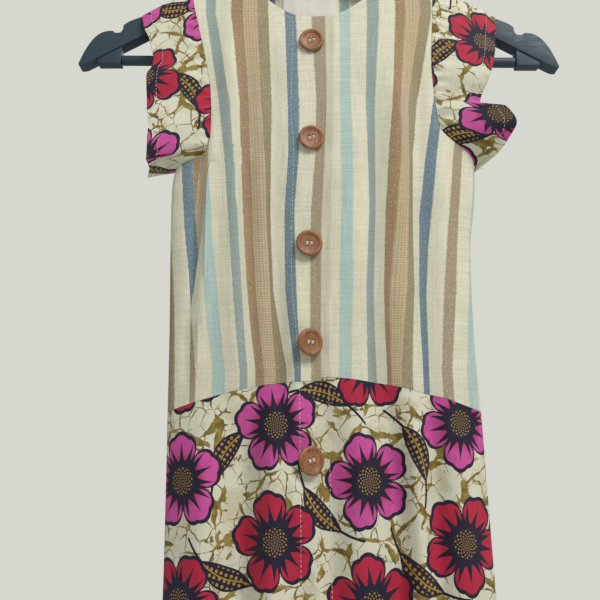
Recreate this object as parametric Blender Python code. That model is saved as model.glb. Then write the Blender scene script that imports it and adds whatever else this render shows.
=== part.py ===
"""A child's sleeveless button-through dress that hangs on a clothes hanger.

Metres, +Z up. The origin is the inside top of the hanger's hook, where a rail holds it. The front of
the dress faces -Y and +X is the viewer's right. The cloth is a thin wall: every panel is a grid of
outer points, worked out from the garment's sections, with a second grid one wall inside it.
"""
import math

import bmesh
import bpy
from mathutils import Matrix, Vector

# Cloth and seams
WALL = 0.0012
LABEL_WALL = 0.0008
SEAM_GAP = 0.0003
CLEARANCE = 0.0006

# Hanger arms: the top edge falls from the middle, steeper towards the tips
ARM_APEX = -0.0860
ARM_SLOPE = 0.25
ARM_CURVE = 1.25
ARM_TILT = 0.006
ARM_HEIGHT = 0.0205
ARM_HALF_DEPTH = 0.0060
ARM_CORNER = 0.0035
BOSS_HALF_WIDTH = 0.014
BOSS_TOP = -0.0835

# Arm end: straight edges, a strap notch in the top one, then a nose that falls in a curve to the tip
END_START = 0.1625
END_TOP = -0.1595
END_TOP_SLOPE = 0.54
END_LOW = -0.1800
END_LOW_SLOPE = 0.585
NOTCH_START = 0.1790
NOTCH_WIDTH = 0.0100
NOTCH_FLOOR = -0.1765
NOSE_TOP = -0.1745
NOSE_POWER = 2.6
NOSE_STEPS = 8
TIP_X = 0.2175
TIP_TOP = -0.2080
TIP_ROUND_START = 0.2100
TIP_ROUND = 50

# Block under each arm that holds the bar's end
SOCKET_START = 0.1798
SOCKET_END = 0.2010
SOCKET_LOW = -0.2070
SOCKET_TOP = -0.1860
SOCKET_HALF_DEPTH = 0.0048

# Trouser bar between the arm ends
BAR_Z = -0.2015
BAR_RADIUS = 0.0045

# Hook
WIRE_RADIUS = 0.0020
HOOK_RADIUS = 0.0200
HOOK_START_ANGLE = -50
HOOK_END_ANGLE = 205
STEM_TOP = -0.058

# Neck opening
NECK_X = -0.003
NECK_HALF_WIDTH = 0.070
FRONT_NECK_Z = -0.1635
BACK_NECK_Z = -0.1190
NECK_POWER = 2.3

# Left and right edge of the body: height, left, right. The armholes end at UNDERARM_Z.
UNDERARM_Z = -0.3110
EDGES = [
    (-0.1260, -0.1180, 0.1060),
    (-0.1520, -0.1136, 0.1042),
    (-0.1840, -0.1062, 0.1018),
    (-0.2170, -0.0993, 0.0997),
    (-0.2420, -0.0954, 0.1008),
    (-0.2756, -0.0938, 0.1045),
    (-0.2890, -0.0942, 0.1173),
    (-0.2970, -0.0975, 0.1300),
    (-0.3046, -0.1110, 0.1345),
    (UNDERARM_Z, -0.1261, 0.1358),
    (-0.3300, -0.1283, 0.1348),
    (-0.3870, -0.1270, 0.1278),
    (-0.4526, -0.1248, 0.1266),
    (-0.5180, -0.1234, 0.1287),
    (-0.5900, -0.1218, 0.1300),
    (-0.6500, -0.1208, 0.1312),
    (-0.7350, -0.1205, 0.1330),
]
SECTION_POWER = 2.5

# How far the front and the back stand off the hanger's plane: height, front, back
DEPTHS = [
    (-0.1200, 0.0095, 0.0095),
    (-0.1700, 0.0130, 0.0125),
    (-0.2200, 0.0180, 0.0140),
    (-0.3000, 0.0220, 0.0170),
    (-0.4500, 0.0220, 0.0180),
    (-0.5200, 0.0210, 0.0180),
    (-0.6500, 0.0240, 0.0210),
    (-0.7350, 0.0270, 0.0240),
]
SHOULDER_ROUND = 0.0090
SHOULDER_FLAT_TOP = -0.16
SHOULDER_FLAT_END = -0.25

# Waist seam and hem
WAIST_FRONT_Z = -0.4925
WAIST_BACK_Z = -0.5000
WAIST_SIDE_Z = -0.5190
WAIST_POWER = 1.6
WAIST_STEP = 0.0030
HEM_MIDDLE_Z = -0.7290
HEM_SIDE_Z = -0.7350

# Button band: height and x of the free edge of the overlap
BAND_EDGE = [
    (-0.1700, 0.0070),
    (-0.3000, 0.0042),
    (-0.3900, 0.0010),
    (-0.4560, -0.0003),
    (-0.6500, 0.0010),
    (-0.7350, 0.0015),
]
BAND_WIDTH = 0.030
UNDERLAP_DROP = 0.0022
UNDERLAP_RISE = 0.0070

# Front folds: x and height at the top, x and height at the bottom, half width, height of the ridge
FRONT_FOLDS = [
    (-0.0905, -0.235, -0.1015, -0.530, 0.0060, 0.0042),
    (-0.1015, -0.245, -0.1060, -0.520, 0.0050, -0.0048),
    (-0.0830, -0.150, -0.0620, -0.560, 0.0090, 0.0034),
    (-0.0685, -0.150, -0.0515, -0.560, 0.0080, -0.0028),
    (-0.0450, -0.160, -0.0300, -0.560, 0.0090, -0.0020),
    (-0.0200, -0.400, -0.0190, -0.640, 0.0090, 0.0036),
    (0.0470, -0.200, 0.0380, -0.560, 0.0090, -0.0026),
    (0.0705, -0.170, 0.0600, -0.560, 0.0095, 0.0030),
    (0.0871, -0.190, 0.0815, -0.560, 0.0080, -0.0030),
    (0.1046, -0.290, 0.0950, -0.560, 0.0090, 0.0032),
    (-0.0900, -0.480, -0.0930, -0.900, 0.0130, 0.0046),
    (-0.0590, -0.480, -0.0650, -0.900, 0.0095, -0.0060),
    (-0.0355, -0.480, -0.0400, -0.900, 0.0105, 0.0046),
    (0.0072, -0.480, 0.0100, -0.900, 0.0075, -0.0034),
    (0.0290, -0.480, 0.0240, -0.900, 0.0120, 0.0036),
    (0.0545, -0.480, 0.0610, -0.900, 0.0095, -0.0058),
    (0.0715, -0.480, 0.0740, -0.900, 0.0080, 0.0034),
    (0.0860, -0.480, 0.0900, -0.900, 0.0070, -0.0034),
    (0.1069, -0.480, 0.1060, -0.900, 0.0110, 0.0036),
]

# Back folds, with the same columns
BACK_FOLDS = [
    (-0.0880, -0.230, -0.0960, -0.560, 0.0080, 0.0034),
    (-0.0600, -0.170, -0.0520, -0.560, 0.0090, -0.0030),
    (-0.0240, -0.200, -0.0200, -0.560, 0.0110, 0.0028),
    (0.0300, -0.180, 0.0270, -0.560, 0.0100, -0.0026),
    (0.0640, -0.210, 0.0590, -0.560, 0.0090, 0.0032),
    (0.0960, -0.270, 0.0930, -0.560, 0.0080, -0.0030),
    (-0.0980, -0.480, -0.1020, -0.900, 0.0110, -0.0042),
    (-0.0660, -0.480, -0.0690, -0.900, 0.0120, 0.0048),
    (-0.0310, -0.480, -0.0330, -0.900, 0.0100, -0.0052),
    (0.0060, -0.480, 0.0040, -0.900, 0.0120, 0.0044),
    (0.0420, -0.480, 0.0450, -0.900, 0.0100, -0.0054),
    (0.0790, -0.480, 0.0820, -0.900, 0.0120, 0.0044),
]
FOLD_FADE = 0.22

# Sleeve hems: share of the height from the top, x, distance from the hanger's plane
LEFT_HEM_FRONT = [
    (0.00, -0.1620, 0.0095),
    (0.08, -0.1600, 0.0105),
    (0.21, -0.1513, 0.0150),
    (0.37, -0.1465, 0.0200),
    (0.45, -0.1508, 0.0235),
    (0.60, -0.1500, 0.0200),
    (0.78, -0.1470, 0.0230),
    (0.93, -0.1475, 0.0210),
    (0.97, -0.1480, 0.0195),
    (1.00, -0.1490, 0.0000),
]
LEFT_HEM_BACK = [
    (0.00, -0.1620, 0.0095),
    (0.20, -0.1550, 0.0150),
    (0.40, -0.1500, 0.0200),
    (0.60, -0.1525, 0.0230),
    (0.80, -0.1530, 0.0210),
    (0.93, -0.1550, 0.0200),
    (0.97, -0.1550, 0.0180),
    (1.00, -0.1490, 0.0000),
]
RIGHT_HEM_FRONT = [
    (0.00, 0.1620, 0.0095),
    (0.20, 0.1586, 0.0160),
    (0.35, 0.1544, 0.0210),
    (0.50, 0.1476, 0.0240),
    (0.64, 0.1400, 0.0190),
    (0.70, 0.1585, 0.0290),
    (0.81, 0.1655, 0.0320),
    (0.90, 0.1590, 0.0240),
    (0.97, 0.1500, 0.0150),
    (1.00, 0.1405, 0.0000),
]
RIGHT_HEM_BACK = [
    (0.00, 0.1620, 0.0095),
    (0.25, 0.1570, 0.0170),
    (0.45, 0.1520, 0.0210),
    (0.65, 0.1500, 0.0190),
    (0.82, 0.1530, 0.0210),
    (0.95, 0.1490, 0.0150),
    (1.00, 0.1400, 0.0000),
]
SLEEVE_BOTTOM_Z = -0.3070

# Share of its height from which the left sleeve runs level under the arm
LEFT_FLAT_FROM = 0.93

# Buttons: x, height, turn about the vertical in degrees
BUTTONS = [
    (-0.0066, -0.1917, 0),
    (-0.0071, -0.2895, 4),
    (-0.0096, -0.3837, 8),
    (-0.0096, -0.4658, 30),
    (-0.0089, -0.5560, 30),
]
BUTTON_RADIUS = 0.0110
BUTTON_HOLE_RADIUS = 0.0009
BUTTON_HOLE_SPACING = 0.0036

# Half of the button's turned profile: radius, height above its flat back
BUTTON_PROFILE = [
    (0.0000, 0.0000),
    (0.0092, 0.0000),
    (0.0110, 0.0010),
    (0.0110, 0.0024),
    (0.0100, 0.0036),
    (0.0084, 0.0034),
    (0.0074, 0.0022),
    (0.0000, 0.0020),
]

# Neck label
LABEL_LEFT = -0.0330
LABEL_RIGHT = 0.0190
LABEL_TOP = -0.1200
LABEL_BOTTOM = -0.1490

# Grid rows from the shoulder to the underarm, which the sleeves' roots share, as shares of the way
ARMHOLE_SHARES = [0, 0.002, 0.007, 0.018, 0.04, 0.08, 0.14, 0.22, 0.32, 0.43, 0.54, 0.64, 0.73, 0.81, 0.88,
                  0.93, 0.97, 1]
LOWER_ROWS = 7
SKIRT_ROWS = 8
NECK_POINT_STEPS = [0.0003, 0.0010, 0.0025, 0.0060]
SIDE_COLUMNS = 5
BAND_COLUMNS = 4
RISE_COLUMNS = 2
HALF_FRONT_COLUMNS = 6
BACK_COLUMNS = 15
HALF_SKIRT_COLUMNS = 12
SKIRT_BACK_COLUMNS = 28
SLEEVE_STATIONS = 6

# Colours
STRIPE_CREAM = (0.62, 0.58, 0.44)
PRINT_GROUND = (0.55, 0.20, 0.22)
LABEL_WHITE = (0.78, 0.76, 0.70)
BUTTON_BROWN = (0.30, 0.12, 0.045)
HANGER_SLATE = (0.030, 0.045, 0.060)
HOOK_STEEL = (0.55, 0.56, 0.58)


def mix(start, end, share):
    return start + (end - start) * share


def smooth(share):
    share = min(max(share, 0.0), 1.0)
    return share * share * (3 - 2 * share)


def slope_at(rows, index, column):
    """Slope of a table's column at a row, flat where the column turns round."""
    first = max(index - 1, 0)
    last = min(index + 1, len(rows) - 1)
    steps = []
    for low in range(first, last):
        run = rows[low + 1][0] - rows[low][0]
        steps.append((rows[low + 1][column] - rows[low][column]) / run)
    if len(steps) == 1:
        return steps[0]
    if steps[0] * steps[1] <= 0:
        return 0.0
    return 2 * steps[0] * steps[1] / (steps[0] + steps[1])


def read(rows, at, column):
    """Value of a column at a place in a table whose first column rises or falls."""
    falling = rows[0][0] > rows[-1][0]
    index = 0
    while index < len(rows) - 2 and (at < rows[index + 1][0] if falling else at > rows[index + 1][0]):
        index += 1
    run = rows[index + 1][0] - rows[index][0]
    share = min(max((at - rows[index][0]) / run, 0.0), 1.0)
    start, end = rows[index][column], rows[index + 1][column]
    out = slope_at(rows, index, column) * run
    into = slope_at(rows, index + 1, column) * run
    square = share * share
    cube = square * share
    return (
        (2 * cube - 3 * square + 1) * start
        + (cube - 2 * square + share) * out
        + (3 * square - 2 * cube) * end
        + (cube - square) * into
    )


# Form of the hanger and of the cloth over it


def arm_top(x):
    """Top edge of the hanger's arms."""
    return ARM_APEX - ARM_SLOPE * abs(x) - ARM_CURVE * x * x - ARM_TILT * x


def shoulder_top(x):
    """Outer face of the cloth where it lies over an arm."""
    return arm_top(x) + CLEARANCE + WALL


def round_over(drop):
    """Share of its full depth that the cloth has reached, this far below the top of the arm."""
    left = 1 - min(max(drop / SHOULDER_ROUND, 0.0), 1.0)
    return (1 - left ** SECTION_POWER) ** (1 / SECTION_POWER)


def section_share(x, z):
    """Depth of the body's section at x as a share of its depth in the middle."""
    level = min(z, UNDERARM_Z)
    left = read(EDGES, level, 1)
    right = read(EDGES, level, 2)
    off = min(abs(2 * x - left - right) / (right - left), 1.0)
    lens = (1 - off ** SECTION_POWER) ** (1 / SECTION_POWER)
    flat = smooth((z - SHOULDER_FLAT_END) / (SHOULDER_FLAT_TOP - SHOULDER_FLAT_END))
    return mix(lens, 1.0, flat)


def fold_height(folds, x, z):
    """Sum of the folds at a place, ridges up and troughs down."""
    total = 0.0
    for top_x, top_z, bottom_x, bottom_z, half_width, height in folds:
        share = (top_z - z) / (top_z - bottom_z)
        if 0 < share < 1:
            off = (x - mix(top_x, bottom_x, share)) / half_width
            fade = smooth(share / FOLD_FADE) * smooth((1 - share) / FOLD_FADE)
            total += height * fade * math.exp(-off * off)
    return total


def front_depth(x, z):
    return section_share(x, z) * (read(DEPTHS, z, 1) + fold_height(FRONT_FOLDS, x, z))


def back_depth(x, z):
    return section_share(x, z) * (read(DEPTHS, z, 2) + fold_height(BACK_FOLDS, x, z))


def front_y(x, z):
    return -SEAM_GAP / 2 - round_over(shoulder_top(x) - z) * front_depth(x, z)


def back_y(x, z):
    return SEAM_GAP / 2 + round_over(shoulder_top(x) - z) * back_depth(x, z)


def underlap_y(x, z):
    """Front surface of the layer that passes under the button band."""
    beyond = (x - read(BAND_EDGE, z, 1) - 0.001) / UNDERLAP_RISE
    return front_y(x, z) + UNDERLAP_DROP * (1 - smooth(beyond))


def across(z, angle):
    """x at an angle round the section's half, -90 degrees at the left edge and 90 at the right."""
    left = read(EDGES, z, 1)
    right = read(EDGES, z, 2)
    sine = math.sin(angle)
    reach = math.copysign(abs(sine) ** (2 / SECTION_POWER), sine)
    return (left + right) / 2 + reach * (right - left) / 2


def angle_at(z, x):
    """The angle whose x is this one."""
    left = read(EDGES, z, 1)
    right = read(EDGES, z, 2)
    reach = (2 * x - left - right) / (right - left)
    sine = math.copysign(min(abs(reach), 1.0) ** (SECTION_POWER / 2), reach)
    return math.asin(sine)


# Outlines of the panels


def neck_edge(x, lowest_z):
    """Neckline height, which meets the shoulder seams at both neck points."""
    off = min(abs(x - NECK_X) / NECK_HALF_WIDTH, 1.0)
    neck_point_z = shoulder_top(NECK_X + math.copysign(NECK_HALF_WIDTH, x - NECK_X))
    return mix(lowest_z, neck_point_z, off ** NECK_POWER)


def top_edge(x, lowest_z):
    """Top edge of a bodice panel: the neckline, and the shoulder seam beyond it."""
    if abs(x - NECK_X) < NECK_HALF_WIDTH:
        return neck_edge(x, lowest_z)
    return shoulder_top(x)


def waist_edge(x, middle_z):
    left = read(EDGES, WAIST_SIDE_Z, 1)
    right = read(EDGES, WAIST_SIDE_Z, 2)
    off = min(abs(2 * x - left - right) / (right - left), 1.0)
    return mix(middle_z, WAIST_SIDE_Z, off ** WAIST_POWER)


def overlap_waist_edge(x, middle_z):
    """The same seam, a little lower towards the free edge of the overlap."""
    return waist_edge(x, middle_z) - WAIST_STEP * smooth((x + 0.06) / 0.06)


def hem_edge(x):
    left = read(EDGES, HEM_SIDE_Z, 1)
    right = read(EDGES, HEM_SIDE_Z, 2)
    off = min(abs(2 * x - left - right) / (right - left), 1.0)
    return mix(HEM_MIDDLE_Z, HEM_SIDE_Z, off ** WAIST_POWER)


# Columns of the panels: each is a function that gives its angle at a height


def neck_angle(side, step=0.0):
    """Angle of the column that runs up to a neck point, or to a step inside it."""
    x = NECK_X + side * (NECK_HALF_WIDTH - step)
    return angle_at(shoulder_top(x), x)


def fixed(angle):
    return lambda z: angle


def between(start, end, share):
    return lambda z: mix(start(z), end(z), share)


def spread(stops, counts):
    """Columns evenly between stops, each stop a column."""
    columns = [stops[0]]
    for start, end, count in zip(stops, stops[1:], counts):
        for step in range(1, count + 1):
            columns.append(between(start, end, step / count))
    return columns


def overlap_edge(z):
    return angle_at(z, read(BAND_EDGE, z, 1))


def underlap_edge(z):
    return angle_at(z, read(BAND_EDGE, z, 1) - BAND_WIDTH)


def rise_end(z):
    return angle_at(z, read(BAND_EDGE, z, 1) + 0.001 + UNDERLAP_RISE)


LEFT_SEAM = fixed(-math.pi / 2)
RIGHT_SEAM = fixed(math.pi / 2)
LEFT_NECK = [fixed(neck_angle(-1, step)) for step in [0.0] + NECK_POINT_STEPS]
RIGHT_NECK = [fixed(neck_angle(1, step)) for step in NECK_POINT_STEPS[::-1] + [0.0]]
NECK_COUNTS = [1] * len(NECK_POINT_STEPS)
BODICE_OVERLAP = spread(
    [LEFT_SEAM] + LEFT_NECK + [underlap_edge, overlap_edge],
    [SIDE_COLUMNS] + NECK_COUNTS + [HALF_FRONT_COLUMNS, BAND_COLUMNS],
)
BODICE_UNDERLAP = spread(
    [underlap_edge, overlap_edge, rise_end] + RIGHT_NECK + [RIGHT_SEAM],
    [BAND_COLUMNS, RISE_COLUMNS, HALF_FRONT_COLUMNS] + NECK_COUNTS + [SIDE_COLUMNS],
)
BODICE_BACK = spread(
    [LEFT_SEAM] + LEFT_NECK + RIGHT_NECK + [RIGHT_SEAM],
    [SIDE_COLUMNS] + NECK_COUNTS + [BACK_COLUMNS] + NECK_COUNTS + [SIDE_COLUMNS],
)
SKIRT_OVERLAP = spread([LEFT_SEAM, underlap_edge, overlap_edge], [HALF_SKIRT_COLUMNS, BAND_COLUMNS])
SKIRT_UNDERLAP = spread(
    [underlap_edge, overlap_edge, rise_end, RIGHT_SEAM], [BAND_COLUMNS, RISE_COLUMNS, HALF_SKIRT_COLUMNS]
)
SKIRT_BACK = spread([LEFT_SEAM, RIGHT_SEAM], [SKIRT_BACK_COLUMNS])


# Grids of outer points


def settle(column, edge, z):
    """Height at which a column meets an edge."""
    for _ in range(12):
        z = mix(z, edge(across(z, column(z))), 0.7)
    return z


def bodice_grid(columns, surface_y, top, bottom):
    """Rows of outer points from the top edge, past the underarm, to the waist seam."""
    tops = [settle(column, top, -0.13) for column in columns]
    bottoms = [settle(column, bottom, WAIST_FRONT_Z) + SEAM_GAP / 2 for column in columns]
    heights = [[mix(z, UNDERARM_Z, share) for z in tops] for share in ARMHOLE_SHARES]
    for row in range(1, LOWER_ROWS + 1):
        heights.append([mix(UNDERARM_Z, z, row / LOWER_ROWS) for z in bottoms])
    return place_rows(columns, surface_y, heights)


def skirt_grid(columns, surface_y, top):
    """Rows of outer points from the waist seam to the hem."""
    tops = [settle(column, top, WAIST_FRONT_Z) - SEAM_GAP / 2 for column in columns]
    bottoms = [settle(column, hem_edge, HEM_MIDDLE_Z) for column in columns]
    heights = []
    for row in range(SKIRT_ROWS + 1):
        heights.append([mix(z, end, row / SKIRT_ROWS) for z, end in zip(tops, bottoms)])
    return place_rows(columns, surface_y, heights)


def place_rows(columns, surface_y, heights):
    grid = []
    for row in heights:
        points = []
        for column, z in zip(columns, row):
            x = across(z, column(z))
            points.append(Vector((x, surface_y(x, z), z)))
        grid.append(points)
    return grid


def sleeve_half(side, hem, is_front):
    """Root and hem of half a sleeve, from the top of the arm down to the underarm."""
    edge_column = 1 if side < 0 else 2
    tip = settle(LEFT_SEAM if side < 0 else RIGHT_SEAM, shoulder_top, -0.13)
    hem_top = shoulder_top(hem[0][1])
    flat_from = LEFT_FLAT_FROM if side < 0 else 1
    rows = []
    for share in ARMHOLE_SHARES:
        root_z = mix(tip, UNDERARM_Z, share)
        root_x = read(EDGES, root_z, edge_column)
        depth = front_depth(root_x, root_z) if is_front else back_depth(root_x, root_z)
        root = (root_x + side * SEAM_GAP, depth, shoulder_top(root_x) - root_z - SEAM_GAP)
        hem_x = read(hem, share, 1)
        hem_drop = shoulder_top(hem_x) - mix(hem_top, SLEEVE_BOTTOM_Z, min(share / flat_from, 1))
        rows.append((root, (hem_x, read(hem, share, 2), hem_drop)))
    return rows


def sleeve_grid(side, hem_front, hem_back):
    """Stations from the armhole to the hem, each a closed loop round the hanger's arm."""
    front = [(root, hem, -1) for root, hem in sleeve_half(side, hem_front, True)]
    back = [(root, hem, 1) for root, hem in sleeve_half(side, hem_back, False)]
    loop = front + back[-2:0:-1]
    grid = []
    for station in range(SLEEVE_STATIONS + 1):
        share = station / SLEEVE_STATIONS
        points = []
        for root, hem, face in loop:
            x, depth, drop = (mix(a, b, share) for a, b in zip(root, hem))
            y = face * round_over(drop) * depth
            points.append(Vector((x, y, shoulder_top(x) - drop)))
        grid.append(points)
    return grid


# Walls


def grid_normals(grid, closed):
    """Outward direction at each point, away from the inside of the garment."""
    rows, columns = len(grid), len(grid[0])
    normals = []
    for r in range(rows):
        above, below = grid[max(r - 1, 0)], grid[min(r + 1, rows - 1)]
        line = []
        for c in range(columns):
            before = (c - 1) % columns if closed else max(c - 1, 0)
            after = (c + 1) % columns if closed else min(c + 1, columns - 1)
            along = grid[r][after] - grid[r][before]
            down = below[c] - above[c]
            line.append(down.cross(along).normalized())
        normals.append(line)
    return normals


def turn(normals, faces_out):
    return [[normal if faces_out else -normal for normal in line] for line in normals]


def flatten(normal, axis):
    """The direction without its part along one axis, so that a seam's faces stay parallel."""
    normal[axis] = 0.0
    normal.normalize()


def square_up(grid, normals, top_is_waist, bottom_is_waist):
    """Keep the wall's edges square at the side, shoulder and waist seams."""
    near_seam = 2 * SEAM_GAP
    for r, line in enumerate(grid):
        for c, point in enumerate(line):
            at_side = c in (0, len(line) - 1)
            at_end = r in (0, len(grid) - 1)
            if (at_side or at_end) and abs(point.y) < near_seam:
                flatten(normals[r][c], 1)
    if top_is_waist:
        for normal in normals[0]:
            flatten(normal, 2)
    if bottom_is_waist:
        for normal in normals[-1]:
            flatten(normal, 2)


def wall_mesh(name, grid, normals, thickness, closed):
    """A closed wall between the grid and its copy one thickness inside."""
    shape = bmesh.new()
    outer = [[shape.verts.new(point) for point in line] for line in grid]
    inner = []
    for line, directions in zip(grid, normals):
        inner.append([shape.verts.new(p - n * thickness) for p, n in zip(line, directions)])
    rows, columns = len(grid), len(grid[0])
    spans = columns if closed else columns - 1
    for r in range(rows - 1):
        for c in range(spans):
            d = (c + 1) % columns
            shape.faces.new((outer[r][c], outer[r + 1][c], outer[r + 1][d], outer[r][d]))
            shape.faces.new((inner[r][d], inner[r + 1][d], inner[r + 1][c], inner[r][c]))
    for c in range(spans):
        d = (c + 1) % columns
        shape.faces.new((outer[0][d], inner[0][d], inner[0][c], outer[0][c]))
        shape.faces.new((outer[-1][c], inner[-1][c], inner[-1][d], outer[-1][d]))
    if not closed:
        for r in range(rows - 1):
            shape.faces.new((outer[r][0], inner[r][0], inner[r + 1][0], outer[r + 1][0]))
            shape.faces.new((outer[r + 1][-1], inner[r + 1][-1], inner[r][-1], outer[r][-1]))
    bmesh.ops.recalc_face_normals(shape, faces=shape.faces)
    mesh = bpy.data.meshes.new(name)
    shape.to_mesh(mesh)
    shape.free()
    mesh.shade_smooth()
    return mesh


# Objects


def material(name, colour, roughness, metallic=0.0):
    made = bpy.data.materials.new(name)
    made.use_nodes = True
    shader = made.node_tree.nodes["Principled BSDF"]
    shader.inputs["Base Color"].default_value = (*colour, 1.0)
    shader.inputs["Roughness"].default_value = roughness
    shader.inputs["Metallic"].default_value = metallic
    return made


def add_object(name, mesh, finish):
    thing = bpy.data.objects.new(name, mesh)
    thing.data.materials.append(finish)
    bpy.context.collection.objects.link(thing)
    return thing


def add_panel(name, grid, faces_front, finish, top_is_waist=False, bottom_is_waist=False):
    normals = turn(grid_normals(grid, False), faces_front)
    square_up(grid, normals, top_is_waist, bottom_is_waist)
    return add_object(name, wall_mesh(name, grid, normals, WALL, False), finish)


def build_bodice(finish):
    def front_top(x):
        return top_edge(x, FRONT_NECK_Z)

    def back_top(x):
        return top_edge(x, BACK_NECK_Z)

    def overlap_bottom(x):
        return overlap_waist_edge(x, WAIST_FRONT_Z)

    def underlap_bottom(x):
        return waist_edge(x, WAIST_FRONT_Z)

    def back_bottom(x):
        return waist_edge(x, WAIST_BACK_Z)

    overlap = bodice_grid(BODICE_OVERLAP, front_y, front_top, overlap_bottom)
    underlap = bodice_grid(BODICE_UNDERLAP, underlap_y, front_top, underlap_bottom)
    back = bodice_grid(BODICE_BACK, back_y, back_top, back_bottom)
    add_panel("bodice_front_overlap", overlap, True, finish, bottom_is_waist=True)
    add_panel("bodice_front_underlap", underlap, True, finish, bottom_is_waist=True)
    add_panel("bodice_back", back, False, finish, bottom_is_waist=True)


def build_skirt(finish):
    def overlap_top(x):
        return overlap_waist_edge(x, WAIST_FRONT_Z)

    def underlap_top(x):
        return waist_edge(x, WAIST_FRONT_Z)

    def back_top(x):
        return waist_edge(x, WAIST_BACK_Z)

    overlap = skirt_grid(SKIRT_OVERLAP, front_y, overlap_top)
    underlap = skirt_grid(SKIRT_UNDERLAP, underlap_y, underlap_top)
    back = skirt_grid(SKIRT_BACK, back_y, back_top)
    add_panel("skirt_front_overlap", overlap, True, finish, top_is_waist=True)
    add_panel("skirt_front_underlap", underlap, True, finish, top_is_waist=True)
    add_panel("skirt_back", back, False, finish, top_is_waist=True)


def build_sleeve(name, side, hem_front, hem_back, finish):
    grid = sleeve_grid(side, hem_front, hem_back)
    normals = turn(grid_normals(grid, True), side < 0)
    add_object(name, wall_mesh(name, grid, normals, WALL, True), finish)


def build_label(finish):
    """A label that hangs inside the back neck, made from the back's inner face moved in."""
    grid = []
    for row in range(4):
        z = mix(LABEL_TOP, LABEL_BOTTOM, row / 3)
        line = []
        for column in range(7):
            x = mix(LABEL_LEFT, LABEL_RIGHT, column / 6)
            line.append(Vector((x, back_y(x, z) - WALL - 2 * SEAM_GAP, z)))
        grid.append(line)
    normals = turn(grid_normals(grid, False), False)
    add_object("neck_label", wall_mesh("neck_label", grid, normals, LABEL_WALL, False), finish)


def button_place(x, z, angle):
    """Centre of the button's flat back, so that its back and its edge just clear the band."""
    reach = [front_y(x, z)]
    for radius, height in BUTTON_PROFILE[1:3]:
        for step in range(24):
            turned = 2 * math.pi * step / 24
            side = radius * math.cos(turned)
            cloth = front_y(x + side * math.cos(angle) + height * math.sin(angle), z + radius * math.sin(turned))
            reach.append(cloth - side * math.sin(angle) + height * math.cos(angle))
    return Vector((x, min(reach) - SEAM_GAP, z))


def button_mesh():
    """A dished button, turned about Z with its flat back at the origin."""
    shape = bmesh.new()
    points = [shape.verts.new((radius, 0, height)) for radius, height in BUTTON_PROFILE]
    edges = [shape.edges.new(pair) for pair in zip(points, points[1:])]
    bmesh.ops.spin(
        shape, geom=points + edges, cent=(0, 0, 0), axis=(0, 0, 1), angle=2 * math.pi, steps=14,
        use_merge=True, use_duplicate=False,
    )
    bmesh.ops.remove_doubles(shape, verts=shape.verts, dist=0.00002)
    bmesh.ops.recalc_face_normals(shape, faces=shape.faces)
    mesh = bpy.data.meshes.new("button")
    shape.to_mesh(mesh)
    shape.free()
    return mesh


def hole_cutter(side, end):
    reach = BUTTON_HOLE_SPACING / 2
    bpy.ops.mesh.primitive_cylinder_add(
        vertices=6, radius=BUTTON_HOLE_RADIUS, depth=0.02, location=(side * reach, end * reach, 0)
    )
    cutter = bpy.context.object
    cutter.hide_render = True
    cutter.display_type = "WIRE"
    return cutter


def build_buttons(finish):
    cutters = [hole_cutter(side, end) for side in (-1, 1) for end in (-1, 1)]
    blank = add_object("button_blank", button_mesh(), finish)
    for cutter in cutters:
        cut = blank.modifiers.new("hole", "BOOLEAN")
        cut.operation = "DIFFERENCE"
        cut.object = cutter
    bpy.context.view_layer.update()
    finished = bpy.data.meshes.new_from_object(blank.evaluated_get(bpy.context.evaluated_depsgraph_get()))
    bpy.data.objects.remove(blank)
    for cutter in cutters:
        bpy.data.objects.remove(cutter)
    for index, (x, z, degrees) in enumerate(BUTTONS, start=1):
        angle = math.radians(degrees)
        button = bpy.data.objects.new(f"button_{index}", finished.copy())
        facing = Matrix.Rotation(angle, 4, "Z") @ Matrix.Rotation(math.radians(90), 4, "X")
        button.matrix_world = Matrix.Translation(button_place(x, z, angle)) @ facing
        bpy.context.collection.objects.link(button)


def arm_section(x, top, bottom):
    """One upright section of the arms: a rectangle with rounded corners."""
    corner = min(ARM_CORNER, (top - bottom) * 0.45)
    points = []
    for side, end in ((1, 1), (-1, 1), (-1, -1), (1, -1)):
        centre_y = side * (ARM_HALF_DEPTH - corner)
        centre_z = (top - corner) if end > 0 else (bottom + corner)
        angles = (0, 45, 90) if side * end > 0 else (90, 45, 0)
        for degrees in angles:
            angle = math.radians(degrees)
            y = centre_y + side * corner * math.cos(angle)
            z = centre_z + end * corner * math.sin(angle)
            points.append((x, y, z))
    return points


def arm_end_low(off):
    """Lower edge of the arm's end: straight, then rounded up to the tip."""
    straight = END_LOW - END_LOW_SLOPE * (off - END_START)
    return straight + TIP_ROUND * max(off - TIP_ROUND_START, 0) ** 2


def arm_end():
    """Rows along the arm's end: distance from the middle, top edge, lower edge."""
    shoulder = END_TOP - END_TOP_SLOPE * (NOTCH_START - END_START)
    tops = [
        (END_START, END_TOP),
        (NOTCH_START, shoulder),
        (NOTCH_START + 0.05 * NOTCH_WIDTH, mix(shoulder, NOTCH_FLOOR, 0.6)),
        (NOTCH_START + 0.35 * NOTCH_WIDTH, NOTCH_FLOOR),
        (NOTCH_START + 0.75 * NOTCH_WIDTH, NOTCH_FLOOR),
    ]
    for step in range(NOSE_STEPS + 1):
        share = math.sin(math.pi / 2 * step / NOSE_STEPS)
        off = mix(NOTCH_START + NOTCH_WIDTH, TIP_X, share)
        tops.append((off, mix(NOSE_TOP, TIP_TOP, share ** NOSE_POWER)))
    return [(off, top, arm_end_low(off)) for off, top in tops]


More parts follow.
